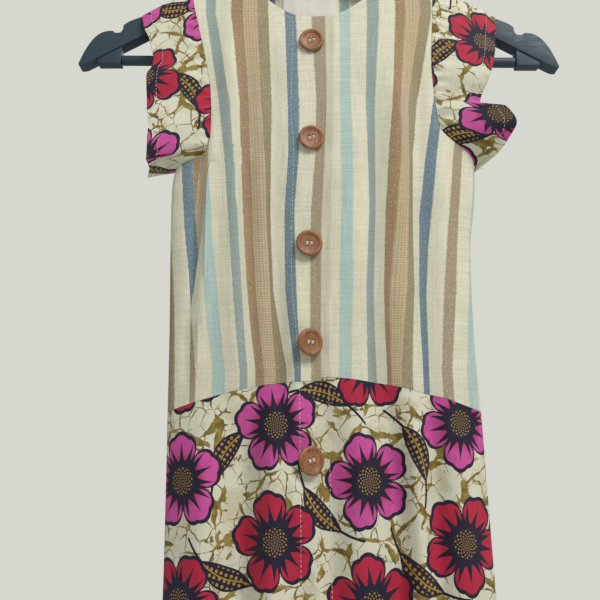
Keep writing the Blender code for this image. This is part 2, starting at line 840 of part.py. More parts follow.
def arm_outline(x):
    """Top and lower edge of the arms at a distance from the middle."""
    off = abs(x)
    lean = -ARM_TILT * x
    if off >= END_START:
        rows = arm_end()
        return read(rows, off, 1) + lean, read(rows, off, 2) + lean
    top = ARM_APEX - ARM_SLOPE * off - ARM_CURVE * off * off
    low = top - ARM_HEIGHT
    if off < BOSS_HALF_WIDTH:
        top = BOSS_TOP
    return top + lean, low + lean


def arm_stations():
    half = [0.0, BOSS_HALF_WIDTH - 0.0005, BOSS_HALF_WIDTH]
    half += [mix(0.02, 0.155, step / 12) for step in range(13)]
    half += [row[0] for row in arm_end()]
    return [-x for x in reversed(half[1:])] + half


def add_socket(side):
    """Block that the arm is joined with, leaning with it."""
    middle = side * (SOCKET_START + SOCKET_END) / 2
    lean = -ARM_TILT * middle
    bpy.ops.mesh.primitive_cube_add(size=1, location=(middle, 0, (SOCKET_TOP + SOCKET_LOW) / 2 + lean))
    block = bpy.context.object
    block.scale = (SOCKET_END - SOCKET_START, 2 * SOCKET_HALF_DEPTH, SOCKET_TOP - SOCKET_LOW)
    block.hide_render = True
    block.display_type = "WIRE"
    return block


def build_arms(finish):
    shape = bmesh.new()
    rings = []
    for x in arm_stations():
        top, bottom = arm_outline(x)
        rings.append([shape.verts.new(point) for point in arm_section(x, top, bottom)])
    count = len(rings[0])
    for ring, after in zip(rings, rings[1:]):
        for c in range(count):
            d = (c + 1) % count
            shape.faces.new((ring[c], ring[d], after[d], after[c]))
    shape.faces.new(rings[0])
    shape.faces.new(rings[-1])
    bmesh.ops.recalc_face_normals(shape, faces=shape.faces)
    mesh = bpy.data.meshes.new("hanger_arms")
    shape.to_mesh(mesh)
    shape.free()
    mesh.shade_smooth()
    mesh.set_sharp_from_angle(angle=math.radians(40))
    arms = add_object("hanger_arms", mesh, finish)
    for side in (-1, 1):
        union = arms.modifiers.new("socket", "BOOLEAN")
        union.operation = "UNION"
        union.object = add_socket(side)


def build_bar(finish):
    length = 2 * (SOCKET_START - 2 * SEAM_GAP)
    bpy.ops.mesh.primitive_cylinder_add(
        vertices=16, radius=BAR_RADIUS, depth=length, location=(0, 0, BAR_Z),
        rotation=(0, math.pi / 2 + math.atan(ARM_TILT), 0),
    )
    bar = bpy.context.object
    bar.name = "hanger_bar"
    bar.data.materials.append(finish)
    bar.data.shade_smooth()
    bar.data.set_sharp_from_angle(angle=math.radians(40))


def hook_route():
    """The wire's middle line: up the stem, out to one side and over the rail."""
    centre = Vector((0, 0, WIRE_RADIUS - HOOK_RADIUS))
    start = math.radians(HOOK_START_ANGLE)
    arc_start = centre + HOOK_RADIUS * Vector((math.cos(start), 0, math.sin(start)))
    heading = Vector((-math.sin(start), 0, math.cos(start)))
    stem = Vector((0, 0, STEM_TOP))
    reach = 0.011
    route = [Vector((0, 0, BOSS_TOP + SEAM_GAP)), Vector((0, 0, (BOSS_TOP + STEM_TOP) / 2))]
    for step in range(7):
        t = step / 7
        a, b = stem, stem + Vector((0, 0, reach))
        c, d = arc_start - heading * reach, arc_start
        route.append(a * (1 - t) ** 3 + 3 * b * t * (1 - t) ** 2 + 3 * c * t * t * (1 - t) + d * t ** 3)
    for step in range(19):
        angle = math.radians(mix(HOOK_START_ANGLE, HOOK_END_ANGLE, step / 18))
        route.append(centre + HOOK_RADIUS * Vector((math.cos(angle), 0, math.sin(angle))))
    return route


def build_hook(finish):
    curve = bpy.data.curves.new("hanger_hook", "CURVE")
    curve.dimensions = "3D"
    curve.bevel_depth = WIRE_RADIUS
    curve.bevel_resolution = 3
    curve.use_fill_caps = True
    route = hook_route()
    line = curve.splines.new("POLY")
    line.points.add(len(route) - 1)
    for point, place in zip(line.points, route):
        point.co = (*place, 1.0)
    hook = bpy.data.objects.new("hanger_hook", curve)
    curve.materials.append(finish)
    bpy.context.collection.objects.link(hook)


def main():
    for thing in list(bpy.data.objects):
        bpy.data.objects.remove(thing)
    stripe = material("striped_cloth", STRIPE_CREAM, 0.9)
    printed = material("wax_print_cloth", PRINT_GROUND, 0.8)
    white = material("label_cloth", LABEL_WHITE, 0.8)
    brown = material("button_wood", BUTTON_BROWN, 0.4)
    slate = material("hanger_plastic", HANGER_SLATE, 0.35)
    steel = material("hook_steel", HOOK_STEEL, 0.3, 1.0)
    build_bodice(stripe)
    build_skirt(printed)
    build_sleeve("sleeve_left", -1, LEFT_HEM_FRONT, LEFT_HEM_BACK, printed)
    build_sleeve("sleeve_right", 1, RIGHT_HEM_FRONT, RIGHT_HEM_BACK, printed)
    build_label(white)
    build_buttons(brown)
    build_arms(slate)
    build_bar(slate)
    build_hook(steel)


main()
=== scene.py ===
"""Looks of a child's sleeveless button-through dress that hangs on a clothes hanger.

Metres, +Z up. The origin is the inside top of the hanger's hook. The front of the dress faces -Y and +X
is the viewer's right. Each cut piece of cloth is a fine shell that stands for its plain solid, follows the
same form and adds creases, puckers and stitches. The hanger is a moulding with a steel hook.
"""
from __future__ import annotations

import logging
import math
from dataclasses import dataclass, field
from enum import Enum
from typing import Callable, Optional, Sequence, Union

import bmesh
import bpy
from mathutils import Matrix, Vector, noise


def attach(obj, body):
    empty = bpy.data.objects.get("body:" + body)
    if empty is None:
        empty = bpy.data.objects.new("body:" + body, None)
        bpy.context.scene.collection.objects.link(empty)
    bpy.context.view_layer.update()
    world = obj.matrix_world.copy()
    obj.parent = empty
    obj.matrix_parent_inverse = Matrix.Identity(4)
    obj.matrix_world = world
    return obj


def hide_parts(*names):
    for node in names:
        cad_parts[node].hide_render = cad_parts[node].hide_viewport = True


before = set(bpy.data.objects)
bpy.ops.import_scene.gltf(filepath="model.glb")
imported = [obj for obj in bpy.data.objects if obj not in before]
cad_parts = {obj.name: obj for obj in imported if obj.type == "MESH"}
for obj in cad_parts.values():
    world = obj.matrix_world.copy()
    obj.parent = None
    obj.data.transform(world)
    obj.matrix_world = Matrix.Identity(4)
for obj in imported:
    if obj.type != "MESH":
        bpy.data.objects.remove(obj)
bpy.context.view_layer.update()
BODY = "root"
UV_NAME = "cloth"
PLEAT_UV = "pleat"

log = logging.getLogger("dress")

Row = tuple[float, ...]
Table = Sequence[Row]
Column = Callable[[float], float]
Edge = Callable[[float], float]
Surface = Callable[[float, float], float]
Point = tuple[float, float]
Socket = bpy.types.NodeSocket
Value = Union[float, Socket]

# Left and right edge of the body: height, left, right
UNDERARM_Z = -0.3110
EDGES: Table = [
    (-0.1260, -0.1180, 0.1060),
    (-0.1520, -0.1136, 0.1042),
    (-0.1840, -0.1062, 0.1018),
    (-0.2170, -0.0993, 0.0997),
    (-0.2420, -0.0954, 0.1008),
    (-0.2756, -0.0938, 0.1045),
    (-0.2890, -0.0942, 0.1173),
    (-0.2970, -0.0975, 0.1300),
    (-0.3046, -0.1110, 0.1345),
    (UNDERARM_Z, -0.1261, 0.1358),
    (-0.3300, -0.1283, 0.1348),
    (-0.3870, -0.1270, 0.1278),
    (-0.4526, -0.1248, 0.1266),
    (-0.5180, -0.1234, 0.1287),
    (-0.5900, -0.1218, 0.1300),
    (-0.6500, -0.1208, 0.1312),
    (-0.7350, -0.1205, 0.1330),
]

# How far the front and the back stand off the hanger's plane: height, front, back
DEPTHS: Table = [
    (-0.1200, 0.0095, 0.0095),
    (-0.1700, 0.0130, 0.0125),
    (-0.2200, 0.0180, 0.0140),
    (-0.3000, 0.0220, 0.0170),
    (-0.4500, 0.0220, 0.0180),
    (-0.5200, 0.0210, 0.0180),
    (-0.6500, 0.0240, 0.0210),
    (-0.7350, 0.0270, 0.0240),
]

# Button band: height and x of the free edge of the overlap
BAND_EDGE: Table = [
    (-0.1700, 0.0070),
    (-0.3000, 0.0042),
    (-0.3900, 0.0010),
    (-0.4560, -0.0003),
    (-0.6500, 0.0010),
    (-0.7350, 0.0015),
]

# Folds: x and height at the top, x and height at the bottom, half width, height of the ridge
FRONT_FOLDS: Table = [
    (-0.0905, -0.235, -0.1015, -0.530, 0.0060, 0.0042),
    (-0.1015, -0.245, -0.1060, -0.520, 0.0050, -0.0048),
    (-0.0830, -0.150, -0.0620, -0.560, 0.0090, 0.0034),
    (-0.0685, -0.150, -0.0515, -0.560, 0.0080, -0.0028),
    (-0.0450, -0.160, -0.0300, -0.560, 0.0090, -0.0020),
    (-0.0200, -0.400, -0.0190, -0.640, 0.0090, 0.0036),
    (0.0470, -0.200, 0.0380, -0.560, 0.0090, -0.0026),
    (0.0705, -0.170, 0.0600, -0.560, 0.0095, 0.0030),
    (0.0871, -0.190, 0.0815, -0.560, 0.0080, -0.0030),
    (0.1046, -0.290, 0.0950, -0.560, 0.0090, 0.0032),
    (-0.0900, -0.480, -0.0930, -0.900, 0.0130, 0.0046),
    (-0.0590, -0.480, -0.0650, -0.900, 0.0095, -0.0060),
    (-0.0355, -0.480, -0.0400, -0.900, 0.0105, 0.0046),
    (0.0072, -0.480, 0.0100, -0.900, 0.0075, -0.0034),
    (0.0290, -0.480, 0.0240, -0.900, 0.0120, 0.0036),
    (0.0545, -0.480, 0.0610, -0.900, 0.0095, -0.0058),
    (0.0715, -0.480, 0.0740, -0.900, 0.0080, 0.0034),
    (0.0860, -0.480, 0.0900, -0.900, 0.0070, -0.0034),
    (0.1069, -0.480, 0.1060, -0.900, 0.0110, 0.0036),
]
BACK_FOLDS: Table = [
    (-0.0880, -0.230, -0.0960, -0.560, 0.0080, 0.0034),
    (-0.0600, -0.170, -0.0520, -0.560, 0.0090, -0.0030),
    (-0.0240, -0.200, -0.0200, -0.560, 0.0110, 0.0028),
    (0.0300, -0.180, 0.0270, -0.560, 0.0100, -0.0026),
    (0.0640, -0.210, 0.0590, -0.560, 0.0090, 0.0032),
    (0.0960, -0.270, 0.0930, -0.560, 0.0080, -0.0030),
    (-0.0980, -0.480, -0.1020, -0.900, 0.0110, -0.0042),
    (-0.0660, -0.480, -0.0690, -0.900, 0.0120, 0.0048),
    (-0.0310, -0.480, -0.0330, -0.900, 0.0100, -0.0052),
    (0.0060, -0.480, 0.0040, -0.900, 0.0120, 0.0044),
    (0.0420, -0.480, 0.0450, -0.900, 0.0100, -0.0054),
    (0.0790, -0.480, 0.0820, -0.900, 0.0120, 0.0044),
]

# Sleeve hems: share of the height from the top, x, distance from the hanger's plane
LEFT_HEM_FRONT: Table = [
    (0.00, -0.1620, 0.0095),
    (0.08, -0.1600, 0.0105),
    (0.21, -0.1513, 0.0150),
    (0.37, -0.1465, 0.0200),
    (0.45, -0.1508, 0.0235),
    (0.60, -0.1500, 0.0200),
    (0.78, -0.1470, 0.0230),
    (0.93, -0.1475, 0.0210),
    (0.97, -0.1480, 0.0195),
    (1.00, -0.1490, 0.0000),
]
LEFT_HEM_BACK: Table = [
    (0.00, -0.1620, 0.0095),
    (0.20, -0.1550, 0.0150),
    (0.40, -0.1500, 0.0200),
    (0.60, -0.1525, 0.0230),
    (0.80, -0.1530, 0.0210),
    (0.93, -0.1550, 0.0200),
    (0.97, -0.1550, 0.0180),
    (1.00, -0.1490, 0.0000),
]
RIGHT_HEM_FRONT: Table = [
    (0.00, 0.1620, 0.0095),
    (0.20, 0.1586, 0.0160),
    (0.35, 0.1544, 0.0210),
    (0.50, 0.1476, 0.0240),
    (0.64, 0.1400, 0.0190),
    (0.70, 0.1585, 0.0290),
    (0.81, 0.1655, 0.0320),
    (0.90, 0.1590, 0.0240),
    (0.97, 0.1500, 0.0150),
    (1.00, 0.1405, 0.0000),
]
RIGHT_HEM_BACK: Table = [
    (0.00, 0.1620, 0.0095),
    (0.25, 0.1570, 0.0170),
    (0.45, 0.1520, 0.0210),
    (0.65, 0.1500, 0.0190),
    (0.82, 0.1530, 0.0210),
    (0.95, 0.1490, 0.0150),
    (1.00, 0.1400, 0.0000),
]

# Rows from the shoulder to the underarm as shares of the way
ARMHOLE_SHARES = [0, 0.002, 0.007, 0.018, 0.04, 0.08, 0.14, 0.22, 0.32, 0.43, 0.54, 0.64, 0.73, 0.81, 0.88,
                  0.93, 0.97, 1]

# Buttons: x, height, turn about the vertical in degrees, turn of the holes in degrees
BUTTONS: Table = [
    (-0.0066, -0.1917, 0, 14),
    (-0.0071, -0.2895, 4, 20),
    (-0.0096, -0.3837, 8, 0),
    (-0.0096, -0.4658, 30, 0),
    (-0.0089, -0.5560, 30, 12),
]

# The six stripes of one repeat in the flat cloth: start from the band's free edge, width
STRIPES: Table = [
    (-0.1264, 0.0105),
    (-0.1014, 0.0090),
    (-0.0779, 0.0085),
    (-0.0562, 0.0095),
    (-0.0327, 0.0100),
    (-0.0092, 0.0095),
]
STRIPE_REPEAT = 0.1402

# Where the stripes lie on the hung front, two repeats: height, then the left and right edge of each
# stripe, in whole millimetres from the band's free edge
STRIPE_LAY: Table = [
    (-0.159, -135, -125, -110, -101, -87, -76, -63, -53, -38, -28, -14, -1,
     12, 22, 37, 48, 63, 72, 86, 96, 110, 120, 134, 143),
    (-0.253, -118, -108, -93, -83, -75, -67, -56, -47, -33, -23, -8, 1,
     12, 22, 35, 43, 58, 65, 72, 80, 94, 103, 117, 126),
    (-0.300, -111, -100, -86, -77, -72, -64, -51, -46, -31, -22, -8, 0,
     14, 24, 37, 43, 54, 65, 72, 75, 87, 96, 111, 119),
    (-0.354, -100, -94, -79, -71, -67, -59, -47, -44, -32, -24, -10, -1,
     15, 25, 39, 44, 52, 61, 72, 75, 81, 91, 106, 115),
    (-0.422, -95, -84, -71, -64, -60, -53, -41, -39, -29, -20, -9, 0,
     15, 26, 37, 43, 51, 55, 70, 76, 80, 85, 100, 111),
    (-0.487, -86, -75, -64, -58, -52, -45, -36, -27, -21, -16, -8, 0,
     14, 24, 37, 44, 52, 55, 63, 72, 81, 85, 95, 104),
]

# Left pleat: height, x of its fold, right edge of the blue stripe beside it
LEFT_PLEAT: Table = [
    (-0.310, -0.0955, -0.1090),
    (-0.365, -0.0980, -0.1040),
    (-0.405, -0.1025, -0.0990),
    (-0.440, -0.1060, -0.0960),
    (-0.515, -0.1040, -0.0925),
]

# Height where it starts, and places in the flat cloth of its inside and of the blue stripe's right edge
PLEAT_TOP = -0.2700
PLEAT_FLAT = -0.2010
BLUE_FLAT = -0.1629

# Line of stitches that holds the band: height, x from its free edge
BAND_STITCH: Table = [
    (-0.1700, -0.0300),
    (-0.2530, -0.0300),
    (-0.3000, -0.0265),
    (-0.3890, -0.0250),
    (-0.4220, -0.0232),
    (-0.4550, -0.0198),
    (-0.4950, -0.0174),
]
SKIRT_BAND_STITCH = -0.0170
UNDERLAP_STITCH = 0.0058


class Slot(Enum):
    """Material slots of the record."""

    STRIPED = "striped_cloth"
    PRINTED = "wax_print_cloth"
    LABEL = "label_cloth"
    WOOD = "button_wood"
    PLASTIC = "hanger_plastic"
    STEEL = "hook_steel"


class Side(Enum):
    """Viewer's left or right."""

    LEFT = -1
    RIGHT = 1


def mix(start: float, end: float, share: float) -> float:
    """Value between two, at a share of the way."""
    return start + (end - start) * share


def smooth(share: float) -> float:
    """Share eased at both ends and kept from 0 to 1."""
    share = min(max(share, 0.0), 1.0)
    return share * share * (3 - 2 * share)


def bell(offset: float, width: float) -> float:
    """1 in the middle of a line and falling to nothing beyond its width."""
    return math.exp(-(offset / width) ** 2)


def slope_at(rows: Table, index: int, column: int) -> float:
    """Slope of a table's column at a row, flat where the column turns round.

    Args:
        rows: The table.
        index: The row.
        column: The column.

    Returns:
        The slope.
    """
    steps = []
    for low in range(max(index - 1, 0), min(index + 1, len(rows) - 1)):
        run = rows[low + 1][0] - rows[low][0]
        steps.append((rows[low + 1][column] - rows[low][column]) / run)
    if len(steps) == 1:
        return steps[0]
    if steps[0] * steps[1] <= 0:
        return 0.0
    return 2 * steps[0] * steps[1] / (steps[0] + steps[1])


def read(rows: Table, at: float, column: int) -> float:
    """Value of a column at a place in a table whose first column rises or falls.

    Args:
        rows: The table.
        at: The place, in the units of the first column.
        column: The column to read.

    Returns:
        The value on a smooth line through the rows.
    """
    falling = rows[0][0] > rows[-1][0]
    index = 0
    while index < len(rows) - 2 and (at < rows[index + 1][0] if falling else at > rows[index + 1][0]):
        index += 1
    run = rows[index + 1][0] - rows[index][0]
    share = min(max((at - rows[index][0]) / run, 0.0), 1.0)
    start, end = rows[index][column], rows[index + 1][column]
    out = slope_at(rows, index, column) * run
    into = slope_at(rows, index + 1, column) * run
    square = share * share
    cube = square * share
    return (
        (2 * cube - 3 * square + 1) * start
        + (cube - 2 * square + share) * out
        + (3 * square - 2 * cube) * end
        + (cube - square) * into
    )


def straight(places: Sequence[float], values: Sequence[float], at: float) -> float:
    """Value read along straight lines between places in rising order."""
    index = 0
    while index < len(places) - 2 and at > places[index + 1]:
        index += 1
    share = (at - places[index]) / (places[index + 1] - places[index])
    return mix(values[index], values[index + 1], share)


def flat_edges() -> list[float]:
    """Edges of the stripes in the flat cloth, over two repeats."""
    edges = []
    for repeat in range(2):
        for start, width in STRIPES:
            left = start + repeat * STRIPE_REPEAT
            edges += [left, left + width]
    return edges


def stripe_edges(z: float) -> list[float]:
    """Distances of the stripes' edges from the band's free edge at a height."""
    index = 0
    while index < len(STRIPE_LAY) - 2 and z < STRIPE_LAY[index + 1][0]:
        index += 1
    above, below = STRIPE_LAY[index], STRIPE_LAY[index + 1]
    share = min(max((z - above[0]) / (below[0] - above[0]), 0.0), 1.0)
    return [mix(high, low, share) / 1000 for high, low in zip(above[1:], below[1:])]


# Form of the dress


@dataclass
class Form:
    """The form that the cloth follows: the solids' own, with deeper front folds and the finer creases."""

    seam_gap: float = 0.0003
    wall: float = 0.0012
    clearance: float = 0.0006
    arm_apex: float = -0.0860
    arm_slope: float = 0.25
    arm_curve: float = 1.25
    arm_tilt: float = 0.006
    neck_x: float = -0.003
    neck_half_width: float = 0.070
    front_neck_z: float = -0.1635
    back_neck_z: float = -0.1190
    neck_power: float = 2.3
    section_power: float = 2.5
    shoulder_round: float = 0.0090
    shoulder_flat_top: float = -0.16
    shoulder_flat_end: float = -0.25
    waist_front_z: float = -0.4925
    waist_back_z: float = -0.5000
    waist_side_z: float = -0.5190
    waist_power: float = 1.6
    waist_step: float = 0.0030
    hem_middle_z: float = -0.7290
    hem_side_z: float = -0.7350
    band_width: float = 0.030
    underlap_drop: float = 0.0022
    underlap_rise: float = 0.0070
    fold_fade: float = 0.22
    button_radius: float = 0.0110
    soft_fold: float = 0.0021
    bodice_deepening: float = 0.35
    skirt_deepening: float = 0.90
    deepening_run: float = 0.03
    crinkle: float = 0.00030
    pucker: float = 0.0005
    stitch_groove: float = 0.0004
    band_groove_width: float = 0.0016
    hem_groove_width: float = 0.0018
    hem_depth: float = 0.020
    turn_steps: int = 96
    reaches: list[float] = field(default_factory=list)
    extras: list[float] = field(default_factory=list)
    stripe_places: list[float] = field(default_factory=flat_edges)

    def __post_init__(self) -> None:
        """Work out how much longer the cloth is than its width where it turns at the sides."""
        ratio = 0.17
        length = 0.0
        before = Vector((0.0, ratio))
        self.reaches = [0.0]
        self.extras = [0.0]
        for step in range(1, self.turn_steps + 1):
            angle = math.pi / 2 * step / self.turn_steps
            here = Vector((math.sin(angle), ratio * max(math.cos(angle), 0.0)))
            bend = 2 / self.section_power
            here = Vector((here.x ** bend, ratio * (here.y / ratio) ** bend))
            length += (here - before).length
            before = here
            self.reaches.append(here.x)
            self.extras.append(length - here.x)

    def edges(self, z: float) -> Point:
        """Left and right edge of the body at a height."""
        return read(EDGES, z, 1), read(EDGES, z, 2)

    def arm_top(self, x: float) -> float:
        """Top edge of the hanger's arms."""
        return self.arm_apex - self.arm_slope * abs(x) - self.arm_curve * x * x - self.arm_tilt * x

    def shoulder_top(self, x: float) -> float:
        """Outer face of the cloth where it lies over an arm."""
        return self.arm_top(x) + self.clearance + self.wall

    def round_over(self, drop: float) -> float:
        """Share of its full depth that the cloth has reached, this far below the top of the arm."""
        left = 1 - min(max(drop / self.shoulder_round, 0.0), 1.0)
        return (1 - left ** self.section_power) ** (1 / self.section_power)

    def off_middle(self, x: float, z: float) -> float:
        """0 in the middle of the body and 1 at its side edges."""
        left, right = self.edges(z)
        return min(abs(2 * x - left - right) / (right - left), 1.0)

    def section_share(self, x: float, z: float) -> float:
        """Depth of the body's section at x as a share of its depth in the middle."""
        lens = (1 - self.off_middle(x, min(z, UNDERARM_Z)) ** self.section_power) ** (1 / self.section_power)
        flat = smooth((z - self.shoulder_flat_end) / (self.shoulder_flat_top - self.shoulder_flat_end))
        return mix(lens, 1.0, flat)

    def fold_height(self, folds: Table, x: float, z: float) -> float:
        """Sum of the folds at a place, ridges up and troughs down."""
        total = 0.0
        for top_x, top_z, bottom_x, bottom_z, half_width, height in folds:
            share = (top_z - z) / (top_z - bottom_z)
            if 0 < share < 1:
                off = (x - mix(top_x, bottom_x, share)) / half_width
                if abs(off) < 4:
                    fade = smooth(share / self.fold_fade) * smooth((1 - share) / self.fold_fade)
                    total += height * fade * math.exp(-off * off)
        return total

    def front_depth(self, x: float, z: float) -> float:
        """Distance of the front from the hanger's plane below the shoulder."""
        return self.section_share(x, z) * (read(DEPTHS, z, 1) + self.fold_height(FRONT_FOLDS, x, z))

    def back_depth(self, x: float, z: float) -> float:
        """Distance of the back from the hanger's plane below the shoulder."""
        return self.section_share(x, z) * (read(DEPTHS, z, 2) + self.fold_height(BACK_FOLDS, x, z))

    def plain_front_y(self, x: float, z: float) -> float:
        """The front as the solid has it."""
        return -self.seam_gap / 2 - self.round_over(self.shoulder_top(x) - z) * self.front_depth(x, z)

    def calm(self, x: float, z: float) -> float:
        """0 under a button and along the edges of the body, 1 where the cloth is free to crease."""
        share = smooth((self.shoulder_top(x) - z) / 0.03) * smooth((1 - self.off_middle(x, z)) / 0.12)
        for button_x, button_z, _, _ in BUTTONS:
            distance = math.hypot(x - button_x, z - button_z) - self.button_radius
            if distance < 0.012:
                share *= smooth(distance / 0.012)
        return share

    def creases(self, x: float, z: float, seed: float) -> float:
        """Soft upright folds and fine crinkles of the hung cloth.

        Args:
            x: Across.
            z: Height.
            seed: Chooses the creases.

        Returns:
            Height above the plain form.
        """
        fold = noise.noise(Vector((x * 40, z * 9, seed)))
        fine = noise.noise(Vector((x * 105, z * 62, seed + 3.1)))
        fine += 0.5 * noise.noise(Vector((x * 230, z * 120, seed + 5.3)))
        off_waist = z - self.waist_edge(x, self.waist_front_z)
        gathers = math.sin(x * 560 + 4 * noise.noise(Vector((x * 30, 0.0, seed))))
        gathers *= bell(off_waist, 0.010) * smooth(abs(off_waist) / 0.003)
        return self.calm(x, z) * (self.soft_fold * fold + self.crinkle * fine + self.pucker * 0.4 * gathers)

    def deeper_folds(self, x: float, z: float) -> float:
        """How much higher the front's folds stand than in the solid, most of all on the skirt."""
        below_waist = self.waist_edge(x, self.waist_front_z) - z
        share = mix(self.bodice_deepening, self.skirt_deepening, smooth(below_waist / self.deepening_run))
        return self.calm(x, z) * share * self.fold_height(FRONT_FOLDS, x, z)

    def front_y(self, x: float, z: float) -> float:
        """Outer face of the front, with its creases and the groove of the band's stitches."""
        band = x - read(BAND_EDGE, z, 1) - self.band_line(z)
        groove = self.stitch_groove * bell(band, self.band_groove_width) * self.calm(x, z)
        hem = self.stitch_groove * bell(z - self.hem_edge(x) - self.hem_depth, self.hem_groove_width)
        raised = self.creases(x, z, 1.7) + self.deeper_folds(x, z)
        return self.plain_front_y(x, z) - raised + groove + hem * self.calm(x, z)

    def back_y(self, x: float, z: float) -> float:
        """Outer face of the back with its creases."""
        plain = self.seam_gap / 2 + self.round_over(self.shoulder_top(x) - z) * self.back_depth(x, z)
        hem = self.stitch_groove * bell(z - self.hem_edge(x) - self.hem_depth, self.hem_groove_width)
        return plain + self.creases(x, z, 8.9) - hem * self.calm(x, z)

    def underlap_y(self, x: float, z: float) -> float:
        """Front surface of the layer that passes under the button band."""
        beyond = (x - read(BAND_EDGE, z, 1) - 0.001) / self.underlap_rise
        return self.front_y(x, z) + self.underlap_drop * (1 - smooth(beyond))

    def band_line(self, z: float) -> float:
        """Place of the band's stitches from its free edge, on the bodice or on the skirt."""
        if z > self.waist_front_z - self.waist_step:
            return read(BAND_STITCH, z, 1)
        return SKIRT_BAND_STITCH

    def across(self, z: float, angle: float) -> float:
        """x at an angle round the section's half, -90 degrees at the left edge and 90 at the right."""
        left, right = self.edges(z)
        sine = math.sin(angle)
        reach = math.copysign(abs(sine) ** (2 / self.section_power), sine)
        return (left + right) / 2 + reach * (right - left) / 2

    def angle_at(self, z: float, x: float) -> float:
        """The angle whose x is this one."""
        left, right = self.edges(z)
        reach = (2 * x - left - right) / (right - left)
        sine = math.copysign(min(abs(reach), 1.0) ** (self.section_power / 2), reach)
        return math.asin(sine)

    def top_edge(self, x: float, lowest_z: float) -> float:
        """Top edge of a bodice piece: the neckline, and the shoulder seam beyond it."""
        if abs(x - self.neck_x) >= self.neck_half_width:
            return self.shoulder_top(x)
        off = abs(x - self.neck_x) / self.neck_half_width
        point_z = self.shoulder_top(self.neck_x + math.copysign(self.neck_half_width, x - self.neck_x))
        return mix(lowest_z, point_z, off ** self.neck_power)

    def waist_edge(self, x: float, middle_z: float) -> float:
        """Waist seam, arched up in the middle."""
        off = self.off_middle(x, self.waist_side_z)
        return mix(middle_z, self.waist_side_z, off ** self.waist_power)

    def overlap_waist_edge(self, x: float, middle_z: float) -> float:
        """The same seam, a little lower towards the free edge of the overlap."""
        return self.waist_edge(x, middle_z) - self.waist_step * smooth((x + 0.06) / 0.06)

    def hem_edge(self, x: float) -> float:
        """Hem of the skirt."""
        off = self.off_middle(x, self.hem_side_z)
        return mix(self.hem_middle_z, self.hem_side_z, off ** self.waist_power)

    def turned_length(self, x: float, z: float) -> float:
        """How much longer the cloth is than its width, from the middle to x, where it turns at a side."""
        left, right = self.edges(z)
        half = (right - left) / 2
        reach = (2 * x - left - right) / (right - left)
        extra = straight(self.reaches, self.extras, min(abs(reach), 1.0))
        return math.copysign(half * extra, reach)

    def front_lay(self, x: float, z: float) -> Point:
        """Place in the flat striped cloth of a point of the front.

        Args:
            x: Across.
            z: Height.

        Returns:
            Distance from the band's free edge, and height.
        """
        edges = stripe_edges(z)
        free_edge = read(BAND_EDGE, z, 1)
        kept = min(max(x - free_edge, edges[0]), edges[-1])
        place = straight(edges, self.stripe_places, kept) + x - free_edge - kept
        place += self.turned_length(x, z) - self.turned_length(free_edge + kept, z)
        return place, z

    def beside_pleat(self, x: float, z: float) -> Point:
        """Distances of a point of the front from the left pleat's fold and from the blue stripe beside it."""
        if z > PLEAT_TOP:
            return 1.0, 1.0
        return x - read(LEFT_PLEAT, z, 1), x - read(LEFT_PLEAT, z, 2)

    def back_lay(self, x: float, z: float) -> Point:
        """Place in the flat cloth of a point of the back, from the centre back."""
        return x + self.turned_length(x, z) + 0.018, z

    def skirt_front_lay(self, x: float, z: float) -> Point:
        """Place in the flat printed cloth of a point of the skirt's front."""
        return 1.12 * (x + self.turned_length(x, z)), z

    def skirt_back_lay(self, x: float, z: float) -> Point:
        """Place in the flat printed cloth of a point of the skirt's back, cut from further along it."""
        return 1.12 * (x + self.turned_length(x, z)) + 0.41, z


FORM = Form()


# Columns and rows of the pieces


@dataclass
class Density:
    """How finely each piece of cloth is divided."""

    side: int = 14
    half_front: int = 44
    band: int = 24
    rise: int = 6
    back: int = 70
    half_skirt: int = 62
    skirt_back: int = 116
    lower_rows: int = 64
    skirt_rows: int = 100
    sleeve_stations: int = 46
    share_step: float = 0.012
    neck_steps: tuple[float, ...] = (0.0003, 0.0010, 0.0025, 0.0060)

    def shares(self) -> list[float]:
        """Rows from the shoulder to the underarm, never further apart than the step."""
        fine = [0.0]
        for start, end in zip(ARMHOLE_SHARES, ARMHOLE_SHARES[1:]):
            count = max(1, math.ceil((end - start) / self.share_step))
            fine += [mix(start, end, step / count) for step in range(1, count + 1)]
        return fine


DENSITY = Density()


def fixed(angle: float) -> Column:
    """Column that keeps one angle."""
    return lambda z: angle


def between(start: Column, end: Column, share: float) -> Column:
    """Column at a share of the way from one to another."""
    return lambda z: mix(start(z), end(z), share)


def spread(stops: Sequence[Column], counts: Sequence[int]) -> list[Column]:
    """Columns evenly between stops, each stop a column.

    Args:
        stops: The columns to go between.
        counts: How many steps between each stop and the next.

    Returns:
        All the columns in order.
    """
    columns = [stops[0]]
    for start, end, count in zip(stops, stops[1:], counts):
        columns += [between(start, end, step / count) for step in range(1, count + 1)]
    return columns


def band_column(offset: float) -> Column:
    """Column that runs at a distance from the band's free edge."""
    return lambda z: FORM.angle_at(z, read(BAND_EDGE, z, 1) + offset)


def neck_column(side: Side, step: float) -> Column:
    """Column that runs up to a neck point, or to a step inside it."""
    x = FORM.neck_x + side.value * (FORM.neck_half_width - step)
    return fixed(FORM.angle_at(FORM.shoulder_top(x), x))


def settle(column: Column, edge: Edge, z: float) -> float:
    """Height at which a column meets an edge."""
    for _ in range(12):
        z = mix(z, edge(FORM.across(z, column(z))), 0.7)
    return z


